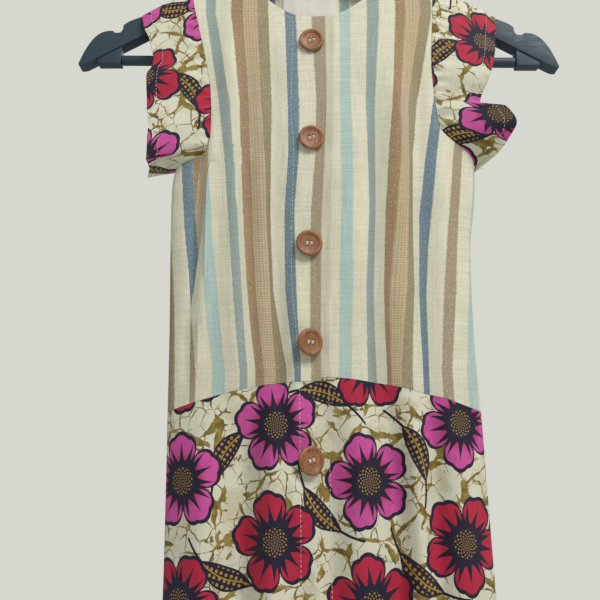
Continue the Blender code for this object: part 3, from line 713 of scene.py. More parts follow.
@dataclass
class ColumnSets:
    """Columns of each piece, from the viewer's left to right."""

    left: Column = field(default_factory=lambda: fixed(-math.pi / 2))
    right: Column = field(default_factory=lambda: fixed(math.pi / 2))

    def neck(self, side: Side) -> list[Column]:
        """Columns that close in on a neck point, in order from left to right."""
        steps = [0.0, *DENSITY.neck_steps]
        columns = [neck_column(side, step) for step in steps]
        return columns if side is Side.LEFT else columns[::-1]

    def bodice_overlap(self) -> list[Column]:
        """Columns of the overlapping front of the bodice."""
        stops = [self.left, *self.neck(Side.LEFT), band_column(-FORM.band_width), band_column(0.0)]
        ones = [1] * len(DENSITY.neck_steps)
        return spread(stops, [DENSITY.side, *ones, DENSITY.half_front, DENSITY.band])

    def bodice_underlap(self) -> list[Column]:
        """Columns of the front of the bodice that runs on under the band."""
        stops = [band_column(-FORM.band_width), band_column(0.0), band_column(0.001 + FORM.underlap_rise)]
        ones = [1] * len(DENSITY.neck_steps)
        counts = [DENSITY.band, DENSITY.rise, DENSITY.half_front, *ones, DENSITY.side]
        return spread([*stops, *self.neck(Side.RIGHT), self.right], counts)

    def bodice_back(self) -> list[Column]:
        """Columns of the back of the bodice."""
        ones = [1] * len(DENSITY.neck_steps)
        stops = [self.left, *self.neck(Side.LEFT), *self.neck(Side.RIGHT), self.right]
        return spread(stops, [DENSITY.side, *ones, DENSITY.back, *ones, DENSITY.side])

    def skirt_overlap(self) -> list[Column]:
        """Columns of the overlapping front of the skirt."""
        stops = [self.left, band_column(-FORM.band_width), band_column(0.0)]
        return spread(stops, [DENSITY.half_skirt, DENSITY.band])

    def skirt_underlap(self) -> list[Column]:
        """Columns of the front of the skirt that runs on under the band."""
        stops = [band_column(-FORM.band_width), band_column(0.0), band_column(0.001 + FORM.underlap_rise)]
        return spread([*stops, self.right], [DENSITY.band, DENSITY.rise, DENSITY.half_skirt])

    def skirt_back(self) -> list[Column]:
        """Columns of the back of the skirt."""
        return spread([self.left, self.right], [DENSITY.skirt_back])


@dataclass
class Grid:
    """Outer points of a piece of cloth and their places in the flat cloth."""

    points: list[list[Vector]]
    lay: list[list[Point]]
    closed: bool = False
    outward: bool = True
    beside: Optional[list[list[Point]]] = None


def body_grid(
    columns: Sequence[Column], surface: Surface, heights: Sequence[Sequence[float]],
    lay: Callable[[float, float], Point], outward: bool,
) -> Grid:
    """Points of a piece of the body, row by row.

    Args:
        columns: The piece's columns.
        surface: Gives y from x and height.
        heights: Height of each column in each row.
        lay: Gives the place in the flat cloth.
        outward: Whether rows and columns turn with the outer face.

    Returns:
        The grid.
    """
    points, places = [], []
    for row in heights:
        line, flat = [], []
        for column, z in zip(columns, row):
            x = FORM.across(z, column(z))
            line.append(Vector((x, surface(x, z), z)))
            flat.append(lay(x, z))
        points.append(line)
        places.append(flat)
    return Grid(points, places, outward=outward)


def bodice_heights(columns: Sequence[Column], top: Edge, bottom: Edge) -> list[list[float]]:
    """Heights of a bodice piece from its top edge, past the underarm, to the waist seam."""
    tops = [settle(column, top, -0.13) for column in columns]
    bottoms = [settle(column, bottom, FORM.waist_front_z) + FORM.seam_gap / 2 for column in columns]
    rows = [[mix(z, UNDERARM_Z, share) for z in tops] for share in DENSITY.shares()]
    for row in range(1, DENSITY.lower_rows + 1):
        rows.append([mix(UNDERARM_Z, z, row / DENSITY.lower_rows) for z in bottoms])
    return rows


def skirt_heights(columns: Sequence[Column], top: Edge) -> list[list[float]]:
    """Heights of a skirt piece from the waist seam to the hem."""
    tops = [settle(column, top, FORM.waist_front_z) - FORM.seam_gap / 2 for column in columns]
    bottoms = [settle(column, FORM.hem_edge, FORM.hem_middle_z) for column in columns]
    rows = []
    for row in range(DENSITY.skirt_rows + 1):
        share = row / DENSITY.skirt_rows
        rows.append([mix(z, end, share) for z, end in zip(tops, bottoms)])
    return rows


# Meshes


def deselect() -> None:
    """Select nothing, so that an operator acts only on what is chosen next."""
    bpy.ops.object.select_all(action="DESELECT")


def make_active(thing: bpy.types.Object) -> None:
    """Select one object alone and make it the active one."""
    deselect()
    thing.select_set(True)
    bpy.context.view_layer.objects.active = thing


def apply_all(thing: bpy.types.Object) -> None:
    """Apply an object's modifiers in order."""
    make_active(thing)
    for modifier in list(thing.modifiers):
        bpy.ops.object.modifier_apply(modifier=modifier.name)


def add_object(name: str, mesh: bpy.types.Mesh, finish: bpy.types.Material) -> bpy.types.Object:
    """Put a mesh in the scene with its finish."""
    thing = bpy.data.objects.new(name, mesh)
    mesh.materials.clear()
    mesh.materials.append(finish)
    bpy.context.collection.objects.link(thing)
    return thing


def report(thing: bpy.types.Object) -> None:
    """Log a piece's size."""
    faces = sum(len(polygon.vertices) - 2 for polygon in thing.data.polygons)
    log.info("%s: %d triangles", thing.name, faces)


def cloth_object(name: str, grid: Grid, thickness: float, finish: bpy.types.Material) -> bpy.types.Object:
    """A shell of cloth with its outer face on the grid.

    Args:
        name: The piece's name.
        grid: Outer points and their places in the flat cloth.
        thickness: Thickness of the cloth, inwards.
        finish: Its material.

    Returns:
        The object, with its thickness applied.
    """
    shape = bmesh.new()
    layer = shape.loops.layers.uv.new(UV_NAME)
    pleat = shape.loops.layers.uv.new(PLEAT_UV) if grid.beside else None
    verts = [[shape.verts.new(point) for point in line] for line in grid.points]
    count = len(verts[0])
    spans = count if grid.closed else count - 1
    for r in range(len(verts) - 1):
        for c in range(spans):
            corners = [(r, c), (r + 1, c), (r + 1, c + 1), (r, c + 1)]
            if not grid.outward:
                corners.reverse()
            face = shape.faces.new([verts[i][j % count] for i, j in corners])
            face.smooth = True
            for loop, (i, j) in zip(face.loops, corners):
                loop[layer].uv = grid.lay[i][j]
                if grid.beside:
                    loop[pleat].uv = grid.beside[i][j]
    mesh = bpy.data.meshes.new(name)
    shape.to_mesh(mesh)
    shape.free()
    thing = add_object(name, mesh, finish)
    solid = thing.modifiers.new("thickness", "SOLIDIFY")
    solid.thickness = thickness
    solid.offset = -1
    apply_all(thing)
    bpy.ops.object.shade_smooth_by_angle(angle=math.radians(50))
    return thing


def tube(
    shape: bmesh.types.BMesh, path: Sequence[Vector], radius: Callable[[float], float], sides: int,
) -> None:
    """Add a closed round tube along a path.

    Args:
        shape: The mesh to add to.
        path: Points of its middle line.
        radius: Gives the radius at a share of the way.
        sides: Number of sides.
    """
    rings = []
    last = len(path) - 1
    up = Vector((0.31, 0.95, 0.05)).normalized()
    for index, point in enumerate(path):
        heading = (path[min(index + 1, last)] - path[max(index - 1, 0)]).normalized()
        across = heading.cross(up).normalized()
        up = across.cross(heading).normalized()
        size = radius(index / last)
        ring = []
        for step in range(sides):
            angle = 2 * math.pi * step / sides
            ring.append(shape.verts.new(point + size * (math.cos(angle) * across + math.sin(angle) * up)))
        rings.append(ring)
    for ring, after in zip(rings, rings[1:]):
        for c in range(sides):
            d = (c + 1) % sides
            shape.faces.new((ring[c], ring[d], after[d], after[c])).smooth = True
    shape.faces.new(rings[0][::-1])
    shape.faces.new(rings[-1])


@dataclass
class StitchRow:
    """A straight run of machine stitches along a path on the cloth."""

    name: str
    length: float = 0.0027
    gap: float = 0.0009
    thread: float = 0.00022
    sides: int = 5
    rings: int = 4

    def dash(self, shape: bmesh.types.BMesh, start: Vector, end: Vector, out: Vector) -> None:
        """Add one stitch that dips into the cloth at both ends."""
        path = []
        for index in range(self.rings + 1):
            share = index / self.rings
            lift = self.thread * (1.5 * math.sin(math.pi * share) - 0.7)
            path.append(start.lerp(end, share) + out * lift)
        tube(shape, path, lambda share: self.thread * (0.45 + 0.55 * math.sin(math.pi * share)), self.sides)

    def build(
        self, paths: Sequence[Sequence[tuple[Vector, Vector]]], finish: bpy.types.Material,
    ) -> bpy.types.Object:
        """Sew along the paths.

        Args:
            paths: For each run, points on the cloth with the outward direction at each.
            finish: The thread's material.

        Returns:
            One object with every stitch.
        """
        shape = bmesh.new()
        for path in paths:
            self.sew(shape, path)
        bmesh.ops.recalc_face_normals(shape, faces=shape.faces)
        mesh = bpy.data.meshes.new(self.name)
        shape.to_mesh(mesh)
        shape.free()
        return add_object(self.name, mesh, finish)

    def sew(self, shape: bmesh.types.BMesh, path: Sequence[tuple[Vector, Vector]]) -> None:
        """Lay stitches one after another along a path."""
        lengths = [0.0]
        for (start, _), (end, _) in zip(path, path[1:]):
            lengths.append(lengths[-1] + (end - start).length)

        def place(distance: float) -> tuple[Vector, Vector]:
            index = 0
            while index < len(lengths) - 2 and distance > lengths[index + 1]:
                index += 1
            run = max(lengths[index + 1] - lengths[index], 1e-9)
            share = (distance - lengths[index]) / run
            point = path[index][0].lerp(path[index + 1][0], share)
            return point, path[index][1].lerp(path[index + 1][1], share).normalized()

        at = self.gap
        while at + self.length < lengths[-1]:
            start, out = place(at)
            end, _ = place(at + self.length)
            self.dash(shape, start, end, out)
            at += self.length + self.gap


def facing_out(surface: Surface, x: float, z: float, side: float) -> Vector:
    """Outward direction of a surface of the body at a place, side -1 for the front and 1 for the back."""
    step = 0.0015
    slope_x = (surface(x + step, z) - surface(x - step, z)) / (2 * step)
    slope_z = (surface(x, z + step) - surface(x, z - step)) / (2 * step)
    return (side * Vector((-slope_x, 1.0, -slope_z))).normalized()


def on_surface(surface: Surface, places: Sequence[Point], side: float) -> list[tuple[Vector, Vector]]:
    """Points on the body with their outward directions."""
    path = []
    for x, z in places:
        path.append((Vector((x, surface(x, z), z)), facing_out(surface, x, z, side)))
    return path


# Node trees


def paint(red: int, green: int, blue: int) -> tuple[float, float, float, float]:
    """Colour of a painted swatch, from screen values to linear ones."""
    linear = []
    for value in (red, green, blue):
        share = value / 255
        linear.append(share / 12.92 if share <= 0.04045 else ((share + 0.055) / 1.055) ** 2.4)
    return (linear[0], linear[1], linear[2], 1.0)


class Tree:
    """Adds nodes to a material or a node group and links them."""

    def __init__(self, tree: bpy.types.NodeTree) -> None:
        """Keep the tree to add to."""
        self.tree = tree

    def node(self, kind: str, **settings: object) -> bpy.types.Node:
        """Add a node and set its options."""
        made = self.tree.nodes.new(kind)
        for name, value in settings.items():
            setattr(made, name, value)
        return made

    def link(self, value: Value, socket: Socket) -> None:
        """Feed a socket from another socket or set it."""
        if isinstance(value, bpy.types.NodeSocket):
            self.tree.links.new(value, socket)
        else:
            socket.default_value = value

    def math(self, operation: str, first: Value, second: Value = 0.0, third: Value = 0.0) -> Socket:
        """One sum."""
        made = self.node("ShaderNodeMath", operation=operation)
        for value, socket in zip((first, second, third), made.inputs):
            self.link(value, socket)
        return made.outputs[0]

    def vector_math(self, operation: str, first: Value, second: Value = (0.0, 0.0, 0.0)) -> bpy.types.Node:
        """One sum of vectors."""
        made = self.node("ShaderNodeVectorMath", operation=operation)
        self.link(first, made.inputs[0])
        self.link(second, made.inputs[1])
        return made

    def step(self, value: Value, low: float, high: float, start: float = 0.0, end: float = 1.0) -> Socket:
        """Ease from start to end as the value goes from low to high."""
        made = self.node("ShaderNodeMapRange", interpolation_type="SMOOTHSTEP")
        for item, socket in zip((value, low, high, start, end), made.inputs):
            self.link(item, socket)
        return made.outputs["Result"]

    def blend(self, share: Value, first: object, second: object) -> Socket:
        """Mix two colours."""
        made = self.node("ShaderNodeMix", data_type="RGBA")
        self.link(share, made.inputs["Factor"])
        self.link(first, made.inputs[6])
        self.link(second, made.inputs[7])
        return made.outputs[2]

    def darken(self, colour: Socket, share: Value) -> Socket:
        """Multiply a colour by a value."""
        made = self.vector_math("SCALE", colour)
        self.link(share, made.inputs["Scale"])
        return made.outputs[0]

    def noise(self, vector: Socket, scale: float, detail: float = 2.0, roughness: float = 0.5) -> Socket:
        """Soft noise from 0 to 1."""
        made = self.node("ShaderNodeTexNoise")
        self.link(vector, made.inputs["Vector"])
        made.inputs["Scale"].default_value = scale
        made.inputs["Detail"].default_value = detail
        made.inputs["Roughness"].default_value = roughness
        return made.outputs["Fac"]

    def stretch(self, vector: Socket, scale: tuple[float, float, float]) -> Socket:
        """Scale a vector along each axis."""
        return self.vector_math("MULTIPLY", vector, scale).outputs[0]

    def parts(self, vector: Socket) -> tuple[Socket, Socket, Socket]:
        """The three parts of a vector."""
        made = self.node("ShaderNodeSeparateXYZ")
        self.link(vector, made.inputs[0])
        return made.outputs[0], made.outputs[1], made.outputs[2]

    def join(self, x: Value, y: Value, z: Value = 0.0) -> Socket:
        """A vector from its parts."""
        made = self.node("ShaderNodeCombineXYZ")
        for value, socket in zip((x, y, z), made.inputs):
            self.link(value, socket)
        return made.outputs[0]

    def ramp(self, share: Socket, stops: Sequence[tuple[float, object]], how: str = "LINEAR") -> Socket:
        """Colour along a ramp of stops."""
        made = self.node("ShaderNodeValToRGB")
        ramp = made.color_ramp
        ramp.interpolation = how
        for index, (place, colour) in enumerate(stops):
            stop = ramp.elements[index] if index < 2 else ramp.elements.new(place)
            stop.position = place
            stop.color = colour
        self.link(share, made.inputs[0])
        return made.outputs[0]

    def cloth_uv(self) -> Socket:
        """The flat cloth's coordinates in metres."""
        return self.node("ShaderNodeUVMap", uv_map=UV_NAME).outputs[0]

    def place(self) -> Socket:
        """The object's coordinates in metres."""
        return self.node("ShaderNodeTexCoord").outputs["Object"]

    def group(self, group: bpy.types.NodeTree, **values: Value) -> bpy.types.Node:
        """Place a node group and feed its inputs, with spaces of their names written as underscores."""
        made = self.node("ShaderNodeGroup")
        made.node_tree = group
        for name, value in values.items():
            self.link(value, made.inputs[name.replace("_", " ")])
        return made

    def bump(self, height: Socket, distance: float, strength: float = 1.0) -> Socket:
        """Surface direction from a height."""
        made = self.node("ShaderNodeBump")
        self.link(height, made.inputs["Height"])
        made.inputs["Distance"].default_value = distance
        made.inputs["Strength"].default_value = strength
        return made.outputs[0]


def new_group(
    name: str, inputs: Sequence[tuple[str, str, object]], outputs: Sequence[tuple[str, str]],
) -> tuple[bpy.types.NodeTree, Tree, bpy.types.Node, bpy.types.Node]:
    """Start a shader node group with named sockets.

    Args:
        name: The group's name.
        inputs: Name, kind and default of each input.
        outputs: Name and kind of each output.

    Returns:
        The group, a tree to add to, its input node and its output node.
    """
    group = bpy.data.node_groups.new(name, "ShaderNodeTree")
    for title, kind, default in inputs:
        socket = group.interface.new_socket(title, in_out="INPUT", socket_type=kind)
        if default is not None:
            socket.default_value = default
    for title, kind in outputs:
        group.interface.new_socket(title, in_out="OUTPUT", socket_type=kind)
    tree = Tree(group)
    return group, tree, tree.node("NodeGroupInput"), tree.node("NodeGroupOutput")


FLOAT = "NodeSocketFloat"
VECTOR = "NodeSocketVector"


def weave_group() -> bpy.types.NodeTree:
    """Plain weave: the height of crossing threads, and slubs where a thread is thicker.

    Returns:
        A group with Place and Threads, the number of threads to a metre.
    """
    group, tree, source, sink = new_group(
        "plain_weave", [("Place", VECTOR, None), ("Threads", FLOAT, 1500.0)],
        [("Height", FLOAT), ("Slub", FLOAT), ("Over", FLOAT)],
    )
    place, threads = source.outputs[0], source.outputs[1]
    u, v, _ = tree.parts(place)
    turn = tree.math("MULTIPLY", threads, math.pi)
    warp = tree.math("SINE", tree.math("MULTIPLY", u, turn))
    weft = tree.math("SINE", tree.math("MULTIPLY", v, turn))
    over = tree.math("MULTIPLY", warp, weft)
    height = tree.math("ADD", tree.math("ABSOLUTE", warp), tree.math("ABSOLUTE", weft))
    lengthwise = tree.noise(tree.stretch(place, (1300.0, 28.0, 1.0)), 1.0, 2.0)
    crosswise = tree.noise(tree.stretch(place, (24.0, 1200.0, 1.0)), 1.0, 2.0)
    slub = tree.math("MULTIPLY", tree.math("ADD", lengthwise, crosswise), 0.5)
    tree.link(tree.math("ADD", tree.math("MULTIPLY", height, 0.35), slub), sink.inputs["Height"])
    tree.link(slub, sink.inputs["Slub"])
    tree.link(tree.step(over, -0.4, 0.4), sink.inputs["Over"])
    return group


def grime_group() -> bpy.types.NodeTree:
    """Slow and quick changes of tone that keep a surface from looking flat.

    Returns:
        A group with Place and Scale, that gives a Tone near 1 and a Grain from 0 to 1.
    """
    group, tree, source, sink = new_group(
        "tone_change", [("Place", VECTOR, None), ("Scale", FLOAT, 30.0), ("Amount", FLOAT, 0.1)],
        [("Tone", FLOAT), ("Grain", FLOAT)],
    )
    place, scale, amount = source.outputs[0], source.outputs[1], source.outputs[2]
    scaled = tree.vector_math("SCALE", place)
    tree.link(scale, scaled.inputs["Scale"])
    broad = tree.noise(scaled.outputs[0], 1.0, 3.0)
    grain = tree.noise(scaled.outputs[0], 24.0, 2.0, 0.6)
    tone = tree.math("MULTIPLY", tree.math("SUBTRACT", broad, 0.5), amount)
    tree.link(tree.math("ADD", tree.math("MULTIPLY", tone, 2.0), 1.0), sink.inputs["Tone"])
    tree.link(grain, sink.inputs["Grain"])
    return group


def lattice_group() -> bpy.types.NodeTree:
    """A half-drop repeat whose every cell turns and shifts its motif by chance.

    Returns:
        A group with Place, Width, Height and Seed, that gives the place in the turned cell and two chances.
    """
    inputs = [("Place", VECTOR, None), ("Width", FLOAT, 0.09), ("Height", FLOAT, 0.1), ("Seed", FLOAT, 1.0),
              ("Shift", FLOAT, 0.006)]
    outputs = [("Cell", VECTOR), ("Chance", FLOAT), ("Other", FLOAT)]
    group, tree, source, sink = new_group("half_drop_repeat", inputs, outputs)
    place, width, height, seed, shift = (source.outputs[index] for index in range(5))
    u, v, _ = tree.parts(place)
    column = tree.math("FLOOR", tree.math("DIVIDE", u, width))
    odd = tree.math("FLOORED_MODULO", column, 2.0)
    dropped = tree.math("ADD", v, tree.math("MULTIPLY", tree.math("MULTIPLY", odd, height), 0.5))
    row = tree.math("FLOOR", tree.math("DIVIDE", dropped, height))
    x = tree.math("SUBTRACT", u, tree.math("MULTIPLY", tree.math("ADD", column, 0.5), width))
    y = tree.math("SUBTRACT", dropped, tree.math("MULTIPLY", tree.math("ADD", row, 0.5), height))
    chance = tree.node("ShaderNodeTexWhiteNoise", noise_dimensions="3D")
    tree.link(tree.join(column, row, seed), chance.inputs["Vector"])
    red, green, blue = tree.parts(chance.outputs["Color"])
    x = tree.math("ADD", x, tree.math("MULTIPLY", tree.math("SUBTRACT", green, 0.5), shift))
    y = tree.math("ADD", y, tree.math("MULTIPLY", tree.math("SUBTRACT", blue, 0.5), shift))
    angle = tree.math("MULTIPLY", red, 2 * math.pi)
    cosine, sine = tree.math("COSINE", angle), tree.math("SINE", angle)
    across = tree.math("ADD", tree.math("MULTIPLY", x, cosine), tree.math("MULTIPLY", y, sine))
    along = tree.math("SUBTRACT", tree.math("MULTIPLY", y, cosine), tree.math("MULTIPLY", x, sine))
    tree.link(tree.join(across, along), sink.inputs["Cell"])
    tree.link(tree.math("FLOORED_MODULO", tree.math("ADD", row, column), 2.0), sink.inputs["Chance"])
    tree.link(green, sink.inputs["Other"])
    return group


@dataclass
class Groups:
    """Node groups that the finishes share, each built once."""

    weave: bpy.types.NodeTree = field(default_factory=weave_group)
    tone: bpy.types.NodeTree = field(default_factory=grime_group)
    lattice: bpy.types.NodeTree = field(default_factory=lattice_group)


def new_material(name: str) -> tuple[bpy.types.Material, Tree, bpy.types.Node]:
    """Start a material.

    Args:
        name: Its name.

    Returns:
        The material, a tree to add to and its Principled shader.
    """
    made = bpy.data.materials.new(name)
    made.use_nodes = True
    return made, Tree(made.node_tree), made.node_tree.nodes["Principled BSDF"]


@dataclass(frozen=True)
class StripedCloth:
    """Linen-look cloth with woven stripes and openwork bands that repeat."""

    name: str = "striped_linen"
    repeat: float = STRIPE_REPEAT
    start: float = -0.0327
    edge: float = 0.0006
    threads: float = 1500.0
    blue: tuple[int, int, int] = (114, 137, 156)
    cream: tuple[int, int, int] = (228, 226, 205)
    taupe: tuple[int, int, int] = (168, 155, 128)
    light_blue: tuple[int, int, int] = (184, 208, 205)
    grey_blue: tuple[int, int, int] = (154, 170, 168)
    brown: tuple[int, int, int] = (166, 137, 106)
    openwork: tuple[int, int, int] = (192, 169, 134)
    olive: tuple[int, int, int] = (158, 146, 116)

    def bands(self) -> list[tuple[float, tuple[int, int, int]]]:
        """End of each stripe within the repeat, and its colour."""
        return [
            (0.0100, self.blue),
            (0.0235, self.cream),
            (0.0330, self.taupe),
            (0.0465, self.cream),
            (0.0570, self.light_blue),
            (0.0715, self.cream),
            (0.0805, self.grey_blue),
            (0.0950, self.cream),
            (0.1035, self.brown),
            (0.1167, self.openwork),
            (0.1262, self.olive),
            (self.repeat, self.cream),
        ]

    def stops(self) -> list[tuple[float, object]]:
        """Stops of the colour ramp, with a short change between stripes."""
        stops: list[tuple[float, object]] = []
        begin = 0.0
        for end, colour in self.bands():
            swatch = paint(*colour)
            stops.append(((begin + self.edge / 2) / self.repeat, swatch))
            stops.append(((end - self.edge / 2) / self.repeat, swatch))
            begin = end
        return stops

    def past_pleat(self, tree: Tree, u: Socket) -> Socket:
        """Place across the flat cloth, with the jump where the left pleat hides some of it."""
        from_fold, from_blue, _ = tree.parts(tree.node("ShaderNodeUVMap", uv_map=PLEAT_UV).outputs[0])
        inside = tree.math("ADD", from_fold, PLEAT_FLAT)
        beyond = tree.math("ADD", from_blue, BLUE_FLAT)
        beside = tree.node("ShaderNodeMix", data_type="FLOAT")
        tree.link(tree.math("LESS_THAN", from_blue, 0.0), beside.inputs["Factor"])
        tree.link(inside, beside.inputs["A"])
        tree.link(beyond, beside.inputs["B"])
        chosen = tree.node("ShaderNodeMix", data_type="FLOAT")
        tree.link(tree.math("LESS_THAN", from_fold, -1e-5), chosen.inputs["Factor"])
        tree.link(u, chosen.inputs["A"])
        tree.link(beside.outputs["Result"], chosen.inputs["B"])
        return chosen.outputs["Result"]

    def material(self, groups: Groups) -> bpy.types.Material:
        """Build the cloth's material."""
        made, tree, shader = new_material(self.name)
        uv = tree.cloth_uv()
        weave = tree.group(groups.weave, Place=uv, Threads=self.threads)
        wander = tree.noise(tree.stretch(uv, (60.0, 300.0, 1.0)), 1.0, 2.0)
        u, v, _ = tree.parts(uv)
        u = self.past_pleat(tree, u)
        shifted = tree.math("ADD", u, tree.math("MULTIPLY", tree.math("SUBTRACT", wander, 0.5), 0.0014))
        along = tree.math("SUBTRACT", shifted, self.start)
        phase = tree.math("FRACT", tree.math("DIVIDE", along, self.repeat))
        colour = tree.ramp(phase, self.stops())
        low, high = 0.1035 / self.repeat, 0.1167 / self.repeat
        rise = tree.step(phase, low, low + 0.006)
        inside = tree.math("MULTIPLY", rise, tree.step(phase, high - 0.006, high, 1.0, 0.0))
        rungs = tree.step(tree.math("SINE", tree.math("MULTIPLY", v, 2 * math.pi / 0.0021)), 0.0, 0.6)
        rails = tree.step(tree.math("SINE", tree.math("MULTIPLY", shifted, 2 * math.pi / 0.0029)), -0.4, 0.3)
        ladder = tree.math("MULTIPLY", tree.math("MULTIPLY", rungs, rails), inside)
        colour = tree.blend(tree.math("MULTIPLY", ladder, 0.62), colour, paint(*self.cream))
        flecks = tree.noise(tree.stretch(uv, (1000.0, 560.0, 1.0)), 1.0, 2.0, 0.65)
        colour = tree.blend(tree.step(flecks, 0.50, 0.66, 0.0, 0.34), colour, paint(*self.cream))
        heather = tree.noise(tree.stretch(uv, (2600.0, 420.0, 1.0)), 1.0, 2.0, 0.7)
        tint = tree.step(heather, 0.30, 0.70, 0.76, 1.14)
        colour = tree.darken(colour, tree.blend(0.6, (1.0, 1.0, 1.0, 1.0), tint))
        tone = tree.group(groups.tone, Place=uv, Scale=22.0, Amount=0.10)
        colour = tree.darken(colour, tone.outputs["Tone"])
        slubs = tree.step(weave.outputs["Slub"], 0.38, 0.62, 0.90, 1.07)
        tree.link(tree.darken(colour, slubs), shader.inputs["Base Color"])
        shader.inputs["Roughness"].default_value = 0.92
        shader.inputs["Sheen Weight"].default_value = 0.12
        shader.inputs["Sheen Roughness"].default_value = 0.5
        shader.inputs["Specular IOR Level"].default_value = 0.2
        height = tree.math("SUBTRACT", weave.outputs["Height"], tree.math("MULTIPLY", inside, 0.25))
        tree.link(tree.bump(height, 0.00045, 0.75), shader.inputs["Normal"])
        return made


